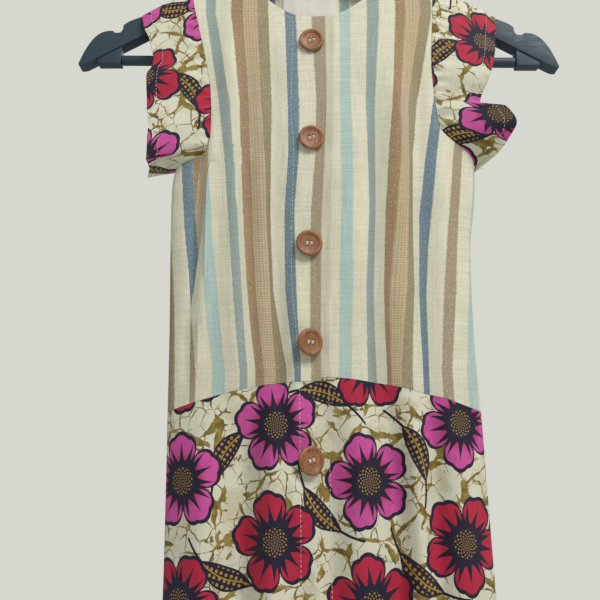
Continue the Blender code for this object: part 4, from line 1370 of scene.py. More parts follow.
@dataclass(frozen=True)
class PrintedCloth:
    """Cotton with a wax-resist print of open round blooms and leaves over a crackled ground."""

    name: str = "wax_print_cotton"
    threads: float = 2600.0
    bloom_width: float = 0.080
    bloom_height: float = 0.088
    bloom_radius: float = 0.0370
    petals: float = 5.0
    ground: tuple[int, int, int] = (216, 216, 197)
    mustard: tuple[int, int, int] = (112, 92, 34)
    pale_mustard: tuple[int, int, int] = (158, 138, 76)
    crimson: tuple[int, int, int] = (182, 36, 66)
    pink: tuple[int, int, int] = (202, 82, 160)
    navy: tuple[int, int, int] = (32, 28, 52)
    gold: tuple[int, int, int] = (168, 136, 58)

    def crackle(self, tree: Tree, uv: Socket) -> Socket:
        """Off-white ground with mustard cracks and blotches.

        Args:
            tree: The material's tree.
            uv: Flat cloth coordinates.

        Returns:
            The ground's colour.
        """
        warp = tree.node("ShaderNodeTexNoise")
        tree.link(uv, warp.inputs["Vector"])
        warp.inputs["Scale"].default_value = 46.0
        warp.inputs["Detail"].default_value = 3.0
        bent = tree.vector_math("SCALE", warp.outputs["Color"])
        bent.inputs["Scale"].default_value = 0.011
        place = tree.vector_math("ADD", uv, bent.outputs[0]).outputs[0]
        width = tree.noise(uv, 60.0, 3.0)
        share: Optional[Socket] = None
        for scale, thick in ((36.0, 0.040), (74.0, 0.022)):
            cells = tree.node("ShaderNodeTexVoronoi", feature="DISTANCE_TO_EDGE")
            tree.link(place, cells.inputs["Vector"])
            cells.inputs["Scale"].default_value = scale
            reach = tree.math("MULTIPLY", tree.step(width, 0.36, 0.72), thick * 2.6)
            line = tree.math("LESS_THAN", cells.outputs["Distance"], reach)
            share = line if share is None else tree.math("MAXIMUM", share, line)
        blots = tree.step(tree.noise(place, 34.0, 4.0, 0.66), 0.630, 0.645)
        share = tree.math("MAXIMUM", share, blots)
        tone = tree.step(tree.noise(uv, 110.0, 3.0), 0.35, 0.7)
        stain = tree.blend(tone, paint(*self.mustard), paint(*self.pale_mustard))
        halo = tree.step(tree.noise(place, 40.0, 4.0, 0.66), 0.52, 0.62, 0.0, 0.25)
        ground = tree.blend(halo, paint(*self.ground), paint(*self.pale_mustard))
        return tree.blend(share, ground, stain)

    def leaves(self, tree: Tree, uv: Socket, groups: Groups, below: Socket) -> Socket:
        """Bent dark leaves with gold dots, each on a stalk."""
        moved = tree.vector_math("ADD", uv, (self.bloom_width / 2, self.bloom_height * 0.25, 0.0)).outputs[0]
        cell = tree.group(
            groups.lattice, Place=moved, Width=self.bloom_width, Height=self.bloom_height,
            Seed=5.0, Shift=0.004,
        )
        x, y, _ = tree.parts(cell.outputs["Cell"])
        bent = tree.math("ADD", x, tree.math("MULTIPLY", tree.math("MULTIPLY", y, y), 9.0))
        bent = tree.math("SUBTRACT", bent, 0.003)
        half, offset = 0.036, 0.0275
        left = tree.vector_math("LENGTH", tree.join(tree.math("SUBTRACT", bent, offset), y)).outputs["Value"]
        right = tree.vector_math("LENGTH", tree.join(tree.math("ADD", bent, offset), y)).outputs["Value"]
        inside = tree.math("SUBTRACT", tree.math("MAXIMUM", left, right), half)
        dark = tree.math("LESS_THAN", inside, 0.0)
        stalk = tree.math("LESS_THAN", tree.math("ABSOLUTE", bent), 0.0011)
        stalk = tree.math("MULTIPLY", stalk, tree.math("LESS_THAN", tree.math("ABSOLUTE", y), 0.040))
        colour = tree.blend(tree.math("MAXIMUM", dark, stalk), below, paint(*self.navy))
        deep = tree.math("LESS_THAN", inside, -0.0016)
        dots = self.dots(tree, cell.outputs["Cell"], 0.0042, 0.30)
        vein = tree.math("LESS_THAN", tree.math("ABSOLUTE", bent), 0.0005)
        marks = tree.math("MULTIPLY", tree.math("MAXIMUM", dots, vein), deep)
        return tree.blend(marks, colour, paint(*self.gold))

    def dots(self, tree: Tree, place: Socket, spacing: float, size: float) -> Socket:
        """Rows of round dots.

        Args:
            tree: The material's tree.
            place: Where the dots lie.
            spacing: Distance between dots.
            size: Radius as a share of the spacing.

        Returns:
            1 in a dot.
        """
        cells = tree.node("ShaderNodeTexVoronoi")
        tree.link(place, cells.inputs["Vector"])
        cells.inputs["Scale"].default_value = 1 / spacing
        cells.inputs["Randomness"].default_value = 0.12
        return tree.math("LESS_THAN", cells.outputs["Distance"], size)

    def blooms(self, tree: Tree, uv: Socket, groups: Groups, below: Socket) -> Socket:
        """Open round blooms with scalloped petals, tapered veins and a dotted heart.

        Args:
            tree: The material's tree.
            uv: Flat cloth coordinates.
            groups: The shared node groups.
            below: Colour under the blooms.

        Returns:
            The colour with the blooms over it.
        """
        cell = tree.group(
            groups.lattice, Place=uv, Width=self.bloom_width, Height=self.bloom_height,
            Seed=2.0, Shift=0.005,
        )
        place = cell.outputs["Cell"]
        x, y, _ = tree.parts(place)
        radius = tree.vector_math("LENGTH", place).outputs["Value"]
        angle = tree.math("ARCTAN2", y, x)
        lobe = tree.math("ABSOLUTE", tree.math("COSINE", tree.math("MULTIPLY", angle, self.petals / 2)))
        lobe = tree.math("POWER", lobe, 0.55)
        frill = tree.math("ABSOLUTE", tree.math("COSINE", tree.math("MULTIPLY", angle, self.petals * 1.5)))
        reach = tree.math("ADD", tree.math("MULTIPLY", lobe, 0.40), 0.56)
        reach = tree.math("ADD", reach, tree.math("MULTIPLY", frill, 0.05))
        reach = tree.math("MULTIPLY", reach, self.bloom_radius)
        inside = tree.math("SUBTRACT", radius, reach)
        share = tree.math("DIVIDE", radius, self.bloom_radius)
        flush = tree.step(share, 0.34, 0.62)
        pink = tree.blend(flush, paint(*self.crimson), paint(*self.pink))
        petal = tree.blend(cell.outputs["Chance"], paint(*self.crimson), pink)
        tone = tree.noise(uv, 160.0, 2.0)
        petal = tree.darken(petal, tree.step(tone, 0.2, 0.8, 0.90, 1.06))
        line = tree.math("ABSOLUTE", tree.math("SINE", tree.math("MULTIPLY", angle, self.petals * 1.5)))
        line = tree.math("DIVIDE", tree.math("MULTIPLY", line, radius), self.petals * 1.5)
        taper = tree.step(share, 0.34, 0.84, 0.0021, 0.0)
        veins = tree.math("LESS_THAN", line, taper)
        gap = tree.math("ABSOLUTE", tree.math("COSINE", tree.math("MULTIPLY", angle, self.petals / 2)))
        gap = tree.math("DIVIDE", tree.math("MULTIPLY", gap, radius), self.petals / 2)
        split = tree.math("LESS_THAN", gap, 0.0014)
        outline = tree.math("GREATER_THAN", inside, -0.0030)
        heart = tree.math("LESS_THAN", radius, 0.0118)
        ink = tree.math("MAXIMUM", tree.math("MAXIMUM", veins, split), tree.math("MAXIMUM", outline, heart))
        petal = tree.blend(ink, petal, paint(*self.navy))
        rings = tree.math("SINE", tree.math("MULTIPLY", radius, 2 * math.pi / 0.0034))
        spokes = tree.math("SINE", tree.math("MULTIPLY", angle, 14.0))
        dots = tree.math("GREATER_THAN", tree.math("MULTIPLY", rings, spokes), 0.42)
        dots = tree.math("MULTIPLY", dots, tree.math("LESS_THAN", radius, 0.0106))
        petal = tree.blend(dots, petal, paint(*self.gold))
        return tree.blend(tree.math("LESS_THAN", inside, 0.0), below, petal)

    def material(self, groups: Groups) -> bpy.types.Material:
        """Build the cloth's material."""
        made, tree, shader = new_material(self.name)
        uv = tree.cloth_uv()
        colour = self.crackle(tree, uv)
        colour = self.leaves(tree, uv, groups, colour)
        colour = self.blooms(tree, uv, groups, colour)
        weave = tree.group(groups.weave, Place=uv, Threads=self.threads)
        tone = tree.group(groups.tone, Place=uv, Scale=18.0, Amount=0.08)
        colour = tree.darken(colour, tone.outputs["Tone"])
        slubs = tree.step(weave.outputs["Slub"], 0.38, 0.62, 0.95, 1.03)
        tree.link(tree.darken(colour, slubs), shader.inputs["Base Color"])
        shader.inputs["Roughness"].default_value = 0.72
        shader.inputs["Sheen Weight"].default_value = 0.05
        shader.inputs["Specular IOR Level"].default_value = 0.3
        tree.link(tree.bump(weave.outputs["Height"], 0.00025, 0.5), shader.inputs["Normal"])
        return made


@dataclass(frozen=True)
class LabelCloth:
    """Plain woven satin tape."""

    name: str = "label_satin"
    white: tuple[int, int, int] = (236, 234, 226)

    def material(self, groups: Groups) -> bpy.types.Material:
        """Build the tape's material."""
        made, tree, shader = new_material(self.name)
        uv = tree.cloth_uv()
        weave = tree.group(groups.weave, Place=uv, Threads=3200.0)
        tone = tree.group(groups.tone, Place=uv, Scale=60.0, Amount=0.06)
        _, v, _ = tree.parts(uv)
        ribs = tree.math("SINE", tree.math("MULTIPLY", v, 2 * math.pi / 0.0006))
        # painted shade: the tape's colour is darkened in the grooves between its ribs, following the rib bump
        shade = tree.step(ribs, -1.0, 1.0, 0.95, 1.0)
        colour = tree.blend(weave.outputs["Over"], paint(*self.white), paint(226, 223, 214))
        colour = tree.darken(tree.darken(colour, shade), tone.outputs["Tone"])
        tree.link(colour, shader.inputs["Base Color"])
        shader.inputs["Roughness"].default_value = 0.55
        shader.inputs["Sheen Weight"].default_value = 0.1
        tree.link(tree.bump(ribs, 0.0001, 0.4), shader.inputs["Normal"])
        return made


@dataclass(frozen=True)
class Thread:
    """Twisted sewing thread."""

    name: str = "sewing_thread"
    colour: tuple[int, int, int] = (232, 230, 218)
    roughness: float = 0.65

    def material(self, groups: Groups) -> bpy.types.Material:
        """Build the thread's material."""
        made, tree, shader = new_material(self.name)
        place = tree.place()
        tone = tree.group(groups.tone, Place=place, Scale=400.0, Amount=0.12)
        x, y, z = tree.parts(place)
        along = tree.math("ADD", tree.math("ADD", x, y), z)
        twist = tree.math("SINE", tree.math("MULTIPLY", along, 2 * math.pi / 0.0005))
        colour = tree.blend(tree.step(twist, -1.0, 1.0), paint(*self.colour), paint(206, 204, 192))
        tree.link(tree.darken(colour, tone.outputs["Tone"]), shader.inputs["Base Color"])
        shader.inputs["Roughness"].default_value = self.roughness
        tree.link(tree.bump(twist, 0.00005, 0.5), shader.inputs["Normal"])
        return made


@dataclass(frozen=True)
class ButtonWood:
    """Turned and varnished brown wood."""

    name: str = "button_wood_grain"
    light: tuple[int, int, int] = (174, 120, 80)
    dark: tuple[int, int, int] = (126, 80, 50)
    pore: tuple[int, int, int] = (98, 54, 34)

    def material(self, groups: Groups) -> bpy.types.Material:
        """Build the wood's material."""
        made, tree, shader = new_material(self.name)
        place = tree.place()
        grain = tree.noise(tree.stretch(place, (900.0, 900.0, 110.0)), 1.0, 4.0, 0.6)
        rings = tree.noise(tree.stretch(place, (260.0, 260.0, 40.0)), 1.0, 2.0)
        colour = tree.blend(tree.step(grain, 0.32, 0.68), paint(*self.light), paint(*self.dark))
        colour = tree.blend(tree.step(rings, 0.40, 0.62, 0.0, 0.45), colour, paint(*self.dark))
        pores = tree.noise(tree.stretch(place, (2600.0, 2600.0, 300.0)), 1.0, 2.0, 0.7)
        colour = tree.blend(tree.step(pores, 0.64, 0.72, 0.0, 0.6), colour, paint(*self.pore))
        tone = tree.group(groups.tone, Place=place, Scale=45.0, Amount=0.22)
        tree.link(tree.darken(colour, tone.outputs["Tone"]), shader.inputs["Base Color"])
        tree.link(tree.step(grain, 0.3, 0.7, 0.36, 0.52), shader.inputs["Roughness"])
        shader.inputs["Coat Weight"].default_value = 0.15
        shader.inputs["Coat Roughness"].default_value = 0.35
        tree.link(tree.bump(tree.math("ADD", grain, pores), 0.00012, 0.5), shader.inputs["Normal"])
        return made


@dataclass(frozen=True)
class MouldedPlastic:
    """Dark slate plastic with a fine moulded grain and light scuffs."""

    name: str = "slate_plastic"
    slate: tuple[int, int, int] = (50, 67, 80)
    scuffed: tuple[int, int, int] = (78, 94, 106)

    def material(self, groups: Groups) -> bpy.types.Material:
        """Build the plastic's material."""
        made, tree, shader = new_material(self.name)
        place = tree.place()
        tone = tree.group(groups.tone, Place=place, Scale=60.0, Amount=0.14)
        scuff = tree.noise(tree.stretch(place, (90.0, 600.0, 600.0)), 1.0, 5.0, 0.65)
        worn = tree.step(scuff, 0.60, 0.74, 0.0, 0.45)
        colour = tree.blend(worn, paint(*self.slate), paint(*self.scuffed))
        tree.link(tree.darken(colour, tone.outputs["Tone"]), shader.inputs["Base Color"])
        tree.link(tree.step(scuff, 0.35, 0.7, 0.50, 0.68), shader.inputs["Roughness"])
        shader.inputs["Specular IOR Level"].default_value = 0.35
        tree.link(tree.bump(tone.outputs["Grain"], 0.0002, 0.35), shader.inputs["Normal"])
        return made


@dataclass(frozen=True)
class HookSteel:
    """Plated steel wire, drawn along its length."""

    name: str = "plated_steel"
    bright: tuple[int, int, int] = (196, 198, 202)
    dull: tuple[int, int, int] = (150, 152, 156)

    def material(self, groups: Groups) -> bpy.types.Material:
        """Build the wire's material."""
        made, tree, shader = new_material(self.name)
        place = tree.place()
        tone = tree.group(groups.tone, Place=place, Scale=140.0, Amount=0.15)
        spots = tree.step(tree.noise(place, 420.0, 3.0, 0.6), 0.55, 0.75)
        colour = tree.blend(spots, paint(*self.bright), paint(*self.dull))
        tree.link(tree.darken(colour, tone.outputs["Tone"]), shader.inputs["Base Color"])
        shader.inputs["Metallic"].default_value = 1.0
        tree.link(tree.step(spots, 0.0, 1.0, 0.22, 0.42), shader.inputs["Roughness"])
        tree.link(tree.bump(tone.outputs["Grain"], 0.0001, 0.2), shader.inputs["Normal"])
        return made


@dataclass(frozen=True)
class FloorPaint:
    """Pale matt floor."""

    name: str = "pale_floor"

    def material(self, groups: Groups) -> bpy.types.Material:
        """Build the floor's material."""
        made, tree, shader = new_material(self.name)
        tone = tree.group(groups.tone, Place=tree.place(), Scale=3.0, Amount=0.03)
        plain = tree.blend(0.0, paint(222, 221, 214), paint(222, 221, 214))
        colour = tree.darken(plain, tone.outputs["Tone"])
        tree.link(colour, shader.inputs["Base Color"])
        shader.inputs["Roughness"].default_value = 0.8
        return made


@dataclass
class Finishes:
    """Every finish, built once."""

    groups: Groups = field(default_factory=Groups)

    def __post_init__(self) -> None:
        """Build the materials."""
        self.striped = StripedCloth().material(self.groups)
        self.printed = PrintedCloth().material(self.groups)
        self.label = LabelCloth().material(self.groups)
        self.thread = Thread().material(self.groups)
        self.wood = ButtonWood().material(self.groups)
        self.plastic = MouldedPlastic().material(self.groups)
        self.steel = HookSteel().material(self.groups)
        self.floor = FloorPaint().material(self.groups)


def dress_piece(thing: bpy.types.Object, slot: Slot, *nodes: str) -> bpy.types.Object:
    """Tie a piece to the body, hide the nodes that it stands for and log its size."""
    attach(thing, BODY)
    if nodes:
        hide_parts(*nodes)
    report(thing)
    return thing


# Sub-assemblies


@dataclass
class Bodice:
    """Two striped fronts and a back with their stitches."""

    finishes: Finishes
    thickness: float = 0.0009
    neck_inset: float = 0.0050
    step: float = 0.004

    def edge(self, lowest_z: float) -> Edge:
        """Top edge with its neckline at a height."""
        return lambda x: FORM.top_edge(x, lowest_z)

    def piece(
        self, name: str, columns: list[Column], surface: Surface, top: Edge, bottom: Edge,
    ) -> bpy.types.Object:
        """Build one bodice piece, tie it to the body and hide the node that it stands for."""
        back = name == "bodice_back"
        lay = FORM.back_lay if back else FORM.front_lay
        grid = body_grid(columns, surface, bodice_heights(columns, top, bottom), lay, not back)
        if name == "bodice_front_overlap":
            grid.beside = [[FORM.beside_pleat(point.x, point.z) for point in line] for line in grid.points]
        thing = cloth_object(f"{name}_cloth", grid, self.thickness, self.finishes.striped)
        return dress_piece(thing, Slot.STRIPED, name)

    def band_places(self) -> list[Point]:
        """Places of the line of stitches that holds the band."""
        places = []
        z = FORM.front_neck_z - 0.004
        while z > FORM.waist_front_z + 0.001:
            places.append((read(BAND_EDGE, z, 1) + read(BAND_STITCH, z, 1), z))
            z -= self.step
        return places

    def neck_places(self, lowest_z: float, start: float, end: float) -> list[Point]:
        """Places along the neckline, a little inside its edge.

        Args:
            lowest_z: Height of the neckline in the middle.
            start: First x.
            end: Last x.

        Returns:
            The places.
        """
        places = []
        count = max(8, int(abs(end - start) / self.step))
        for index in range(count + 1):
            x = mix(start, end, index / count)
            inner = FORM.neck_x + (x - FORM.neck_x) * (1 + self.neck_inset / FORM.neck_half_width)
            share = abs(x - FORM.neck_x) / FORM.neck_half_width
            z = FORM.top_edge(x, lowest_z) - self.neck_inset * (1 - share) ** 0.5
            places.append((inner, min(z, FORM.shoulder_top(inner) - 0.004)))
        return places

    def build(self) -> list[bpy.types.Object]:
        """Build the bodice."""
        sets = ColumnSets()
        front_top, back_top = self.edge(FORM.front_neck_z), self.edge(FORM.back_neck_z)
        overlap = self.piece(
            "bodice_front_overlap", sets.bodice_overlap(), FORM.front_y, front_top,
            lambda x: FORM.overlap_waist_edge(x, FORM.waist_front_z),
        )
        underlap = self.piece(
            "bodice_front_underlap", sets.bodice_underlap(), FORM.underlap_y, front_top,
            lambda x: FORM.waist_edge(x, FORM.waist_front_z),
        )
        back = self.piece(
            "bodice_back", sets.bodice_back(), FORM.back_y, back_top,
            lambda x: FORM.waist_edge(x, FORM.waist_back_z),
        )
        stitches = self.stitches()
        return [overlap, underlap, back, *stitches]

    def stitches(self) -> list[bpy.types.Object]:
        """Stitches of the band and the neckline."""
        edge_x = read(BAND_EDGE, FORM.front_neck_z, 1)
        left_point = FORM.neck_x - FORM.neck_half_width + 0.004
        right_point = FORM.neck_x + FORM.neck_half_width - 0.004
        band = on_surface(FORM.front_y, self.band_places(), -1)
        left = on_surface(FORM.front_y, self.neck_places(FORM.front_neck_z, left_point, edge_x - 0.002), -1)
        right_places = self.neck_places(FORM.front_neck_z, edge_x + 0.006, right_point)
        right = on_surface(FORM.underlap_y, right_places, -1)
        back = on_surface(FORM.back_y, self.neck_places(FORM.back_neck_z, left_point, right_point), 1)
        made = [
            StitchRow("bodice_band_stitches").build([band, left], self.finishes.thread),
            StitchRow("bodice_neck_stitches").build([right], self.finishes.thread),
            StitchRow("bodice_back_stitches").build([back], self.finishes.thread),
        ]
        return [dress_piece(thing, Slot.STRIPED) for thing in made]


@dataclass
class Skirt:
    """Wax print skirt with the same opening, and its hem."""

    finishes: Finishes
    thickness: float = 0.0008
    hem_inset: float = 0.020
    step: float = 0.004

    def piece(self, name: str, columns: list[Column], surface: Surface, top: Edge) -> bpy.types.Object:
        """Build one skirt piece, tie it to the body and hide the node that it stands for."""
        back = name == "skirt_back"
        lay = FORM.skirt_back_lay if back else FORM.skirt_front_lay
        grid = body_grid(columns, surface, skirt_heights(columns, top), lay, not back)
        thing = cloth_object(f"{name}_cloth", grid, self.thickness, self.finishes.printed)
        return dress_piece(thing, Slot.PRINTED, name)

    def upright(self, offset: float) -> list[Point]:
        """Places of a line of stitches down the opening."""
        places = []
        z = FORM.waist_front_z - 0.008
        while z > FORM.hem_middle_z + 0.004:
            places.append((read(BAND_EDGE, z, 1) + offset, z))
            z -= self.step
        return places

    def hem_places(self, start: float, end: float) -> list[Point]:
        """Places of the hem's stitches between two x."""
        places = []
        count = max(4, int(abs(end - start) / self.step))
        for index in range(count + 1):
            x = mix(start, end, index / count)
            places.append((x, FORM.hem_edge(x) + self.hem_inset))
        return places

    def build(self) -> list[bpy.types.Object]:
        """Build the skirt."""
        sets = ColumnSets()
        overlap = self.piece(
            "skirt_front_overlap", sets.skirt_overlap(), FORM.front_y,
            lambda x: FORM.overlap_waist_edge(x, FORM.waist_front_z),
        )
        underlap = self.piece(
            "skirt_front_underlap", sets.skirt_underlap(), FORM.underlap_y,
            lambda x: FORM.waist_edge(x, FORM.waist_front_z),
        )
        back = self.piece(
            "skirt_back", sets.skirt_back(), FORM.back_y, lambda x: FORM.waist_edge(x, FORM.waist_back_z),
        )
        stitches = self.stitches()
        return [overlap, underlap, back, *stitches]

    def stitches(self) -> list[bpy.types.Object]:
        """Stitches of the opening and of the hem."""
        z = FORM.hem_middle_z
        left, right = FORM.edges(z)
        edge_x = read(BAND_EDGE, z, 1)
        band = on_surface(FORM.front_y, self.upright(SKIRT_BAND_STITCH), -1)
        under = on_surface(FORM.underlap_y, self.upright(UNDERLAP_STITCH), -1)
        hem_left = on_surface(FORM.front_y, self.hem_places(left + 0.003, edge_x - 0.002), -1)
        hem_right = on_surface(FORM.underlap_y, self.hem_places(edge_x + 0.003, right - 0.003), -1)
        hem_back = on_surface(FORM.back_y, self.hem_places(left + 0.003, right - 0.003), 1)
        made = [
            StitchRow("skirt_band_stitches").build([band, hem_left], self.finishes.thread),
            StitchRow("skirt_opening_stitches").build([under, hem_right], self.finishes.thread),
            StitchRow("skirt_back_stitches").build([hem_back], self.finishes.thread),
        ]
        return [dress_piece(thing, Slot.PRINTED) for thing in made]


@dataclass
class Sleeve:
    """A flutter sleeve: a tube of print round an armhole and over the hanger's arm."""

    finishes: Finishes
    side: Side
    hem_front: Table
    hem_back: Table
    print_place: Point
    thickness: float = 0.0008
    bottom_z: float = -0.3070
    flat_from: float = 1.0
    gather: float = 0.0009
    hem_inset: float = 0.0085

    def half(self, hem: Table, is_front: bool) -> list[tuple[Row, Row]]:
        """Root and hem of half a sleeve, from the top of the arm down to the underarm."""
        sign = self.side.value
        edge = 1 if self.side is Side.LEFT else 2
        tip = settle(fixed(sign * math.pi / 2), FORM.shoulder_top, -0.13)
        hem_top = FORM.shoulder_top(hem[0][1])
        rows = []
        for share in DENSITY.shares():
            root_z = mix(tip, UNDERARM_Z, share)
            root_x = read(EDGES, root_z, edge)
            depth = FORM.front_depth(root_x, root_z) if is_front else FORM.back_depth(root_x, root_z)
            root = (root_x + sign * FORM.seam_gap, depth, FORM.shoulder_top(root_x) - root_z - FORM.seam_gap)
            hem_x = read(hem, share, 1)
            hem_z = mix(hem_top, self.bottom_z, min(share / self.flat_from, 1.0))
            hem_drop = FORM.shoulder_top(hem_x) - hem_z
            rows.append((root, (hem_x, read(hem, share, 2), hem_drop)))
        return rows

    def grid(self) -> Grid:
        """Stations from the armhole to the hem, each a closed loop round the arm."""
        front = [(root, hem, -1) for root, hem in self.half(self.hem_front, True)]
        back = [(root, hem, 1) for root, hem in self.half(self.hem_back, False)]
        loop = front + back[-2:0:-1]
        points = []
        for station in range(DENSITY.sleeve_stations + 1):
            share = station / DENSITY.sleeve_stations
            line = []
            for index, (root, hem, face) in enumerate(loop):
                x, depth, drop = (mix(start, end, share) for start, end in zip(root, hem))
                around = index / len(loop)
                ripple = self.ripple(around, share) * smooth(drop / 0.03) * smooth(depth / 0.012)
                y = face * FORM.round_over(drop) * (depth + ripple)
                line.append(Vector((x, y, FORM.shoulder_top(x) - drop)))
            points.append(line)
        return Grid(points, self.flat_places(points), closed=True, outward=self.side is Side.LEFT)

    def ripple(self, around: float, share: float) -> float:
        """Gathers that run out from the armhole, and soft flutes towards the hem."""
        seed = 3.0 + self.side.value
        wander = noise.noise(Vector((around * 9, share * 2, seed)))
        gathers = self.gather * math.sin(around * 2 * math.pi * 34 + 5 * wander) * bell(share - 0.10, 0.16)
        flutes = 0.0012 * noise.noise(Vector((around * 22, share * 2.2, seed + 7))) * smooth(share / 0.3)
        fine = 0.00025 * noise.noise(Vector((around * 90, share * 14, seed + 11)))
        return (gathers + flutes + fine) * smooth(share / 0.04)

    def flat_places(self, points: list[list[Vector]]) -> list[list[Point]]:
        """Places in the flat cloth: round the arm, and out from the armhole."""
        count = len(points[0])
        middle = points[len(points) // 2]
        around = [0.0]
        for index in range(count):
            around.append(around[-1] + (middle[(index + 1) % count] - middle[index]).length)
        places = []
        out = [0.0] * (count + 1)
        for row, line in enumerate(points):
            if row:
                before = points[row - 1]
                out = [out[c] + (line[c % count] - before[c % count]).length for c in range(count + 1)]
            start_x, start_y = self.print_place
            places.append([(start_x + out[c], start_y - around[c]) for c in range(count + 1)])
        return places

    def hem_paths(self, grid: Grid) -> list[list[tuple[Vector, Vector]]]:
        """The line of stitches inside the hem, all the way round."""
        path = []
        count = len(grid.points[0])
        for column in range(0, count + 1, 2):
            c = column % count
            line = [row[c] for row in grid.points]
            gone = 0.0
            index = len(line) - 1
            while index > 0 and gone < self.hem_inset:
                gone += (line[index] - line[index - 1]).length
                index -= 1
            here = line[index]
            after = grid.points[index][(c + 1) % count] - grid.points[index][c - 1]
            out = (line[index + 1] - here).cross(after).normalized()
            path.append((here, out if grid.outward else -out))
        return [path]

    def build(self) -> list[bpy.types.Object]:
        """Build the sleeve."""
        node = "sleeve_left" if self.side is Side.LEFT else "sleeve_right"
        grid = self.grid()
        cloth = cloth_object(f"{node}_cloth", grid, self.thickness, self.finishes.printed)
        dress_piece(cloth, Slot.PRINTED, node)
        seam = StitchRow(f"{node}_stitches", length=0.0024)
        stitches = seam.build(self.hem_paths(grid), self.finishes.thread)
        dress_piece(stitches, Slot.PRINTED)
        return [cloth, stitches]


@dataclass
class NeckLabel:
    """A plain folded tape inside the back neck, sewn down at both ends."""

    finishes: Finishes
    left: float = -0.0330
    right: float = 0.0190
    top: float = -0.1200
    bottom: float = -0.1490
    thickness: float = 0.0006
    columns: int = 48
    rows: int = 22

    def surface(self, x: float, z: float) -> float:
        """Face of the label, just inside the back."""
        belly = 0.0006 * math.sin(math.pi * (x - self.left) / (self.right - self.left))
        return FORM.back_y(x, z) - FORM.wall - 2 * FORM.seam_gap - belly * smooth((self.top - z) / 0.01)

    def build(self) -> list[bpy.types.Object]:
        """Build the label and its stitches."""
        points, lay = [], []
        for row in range(self.rows + 1):
            z = mix(self.top, self.bottom, row / self.rows)
            xs = [mix(self.left, self.right, column / self.columns) for column in range(self.columns + 1)]
            points.append([Vector((x, self.surface(x, z), z)) for x in xs])
            lay.append([(x, z) for x in xs])
        tape = cloth_object("neck_label_tape", Grid(points, lay), self.thickness, self.finishes.label)
        dress_piece(tape, Slot.LABEL, "neck_label")
        paths = []
        for x in (self.left + 0.0016, self.right - 0.0016):
            ends = [(x, mix(self.top - 0.001, self.bottom + 0.001, step / 8)) for step in range(9)]
            paths.append(on_surface(self.surface, ends, -1))
        seam = StitchRow("neck_label_stitches", length=0.0018, gap=0.0007)
        stitches = seam.build(paths, self.finishes.thread)
        dress_piece(stitches, Slot.LABEL)
        return [tape, stitches]


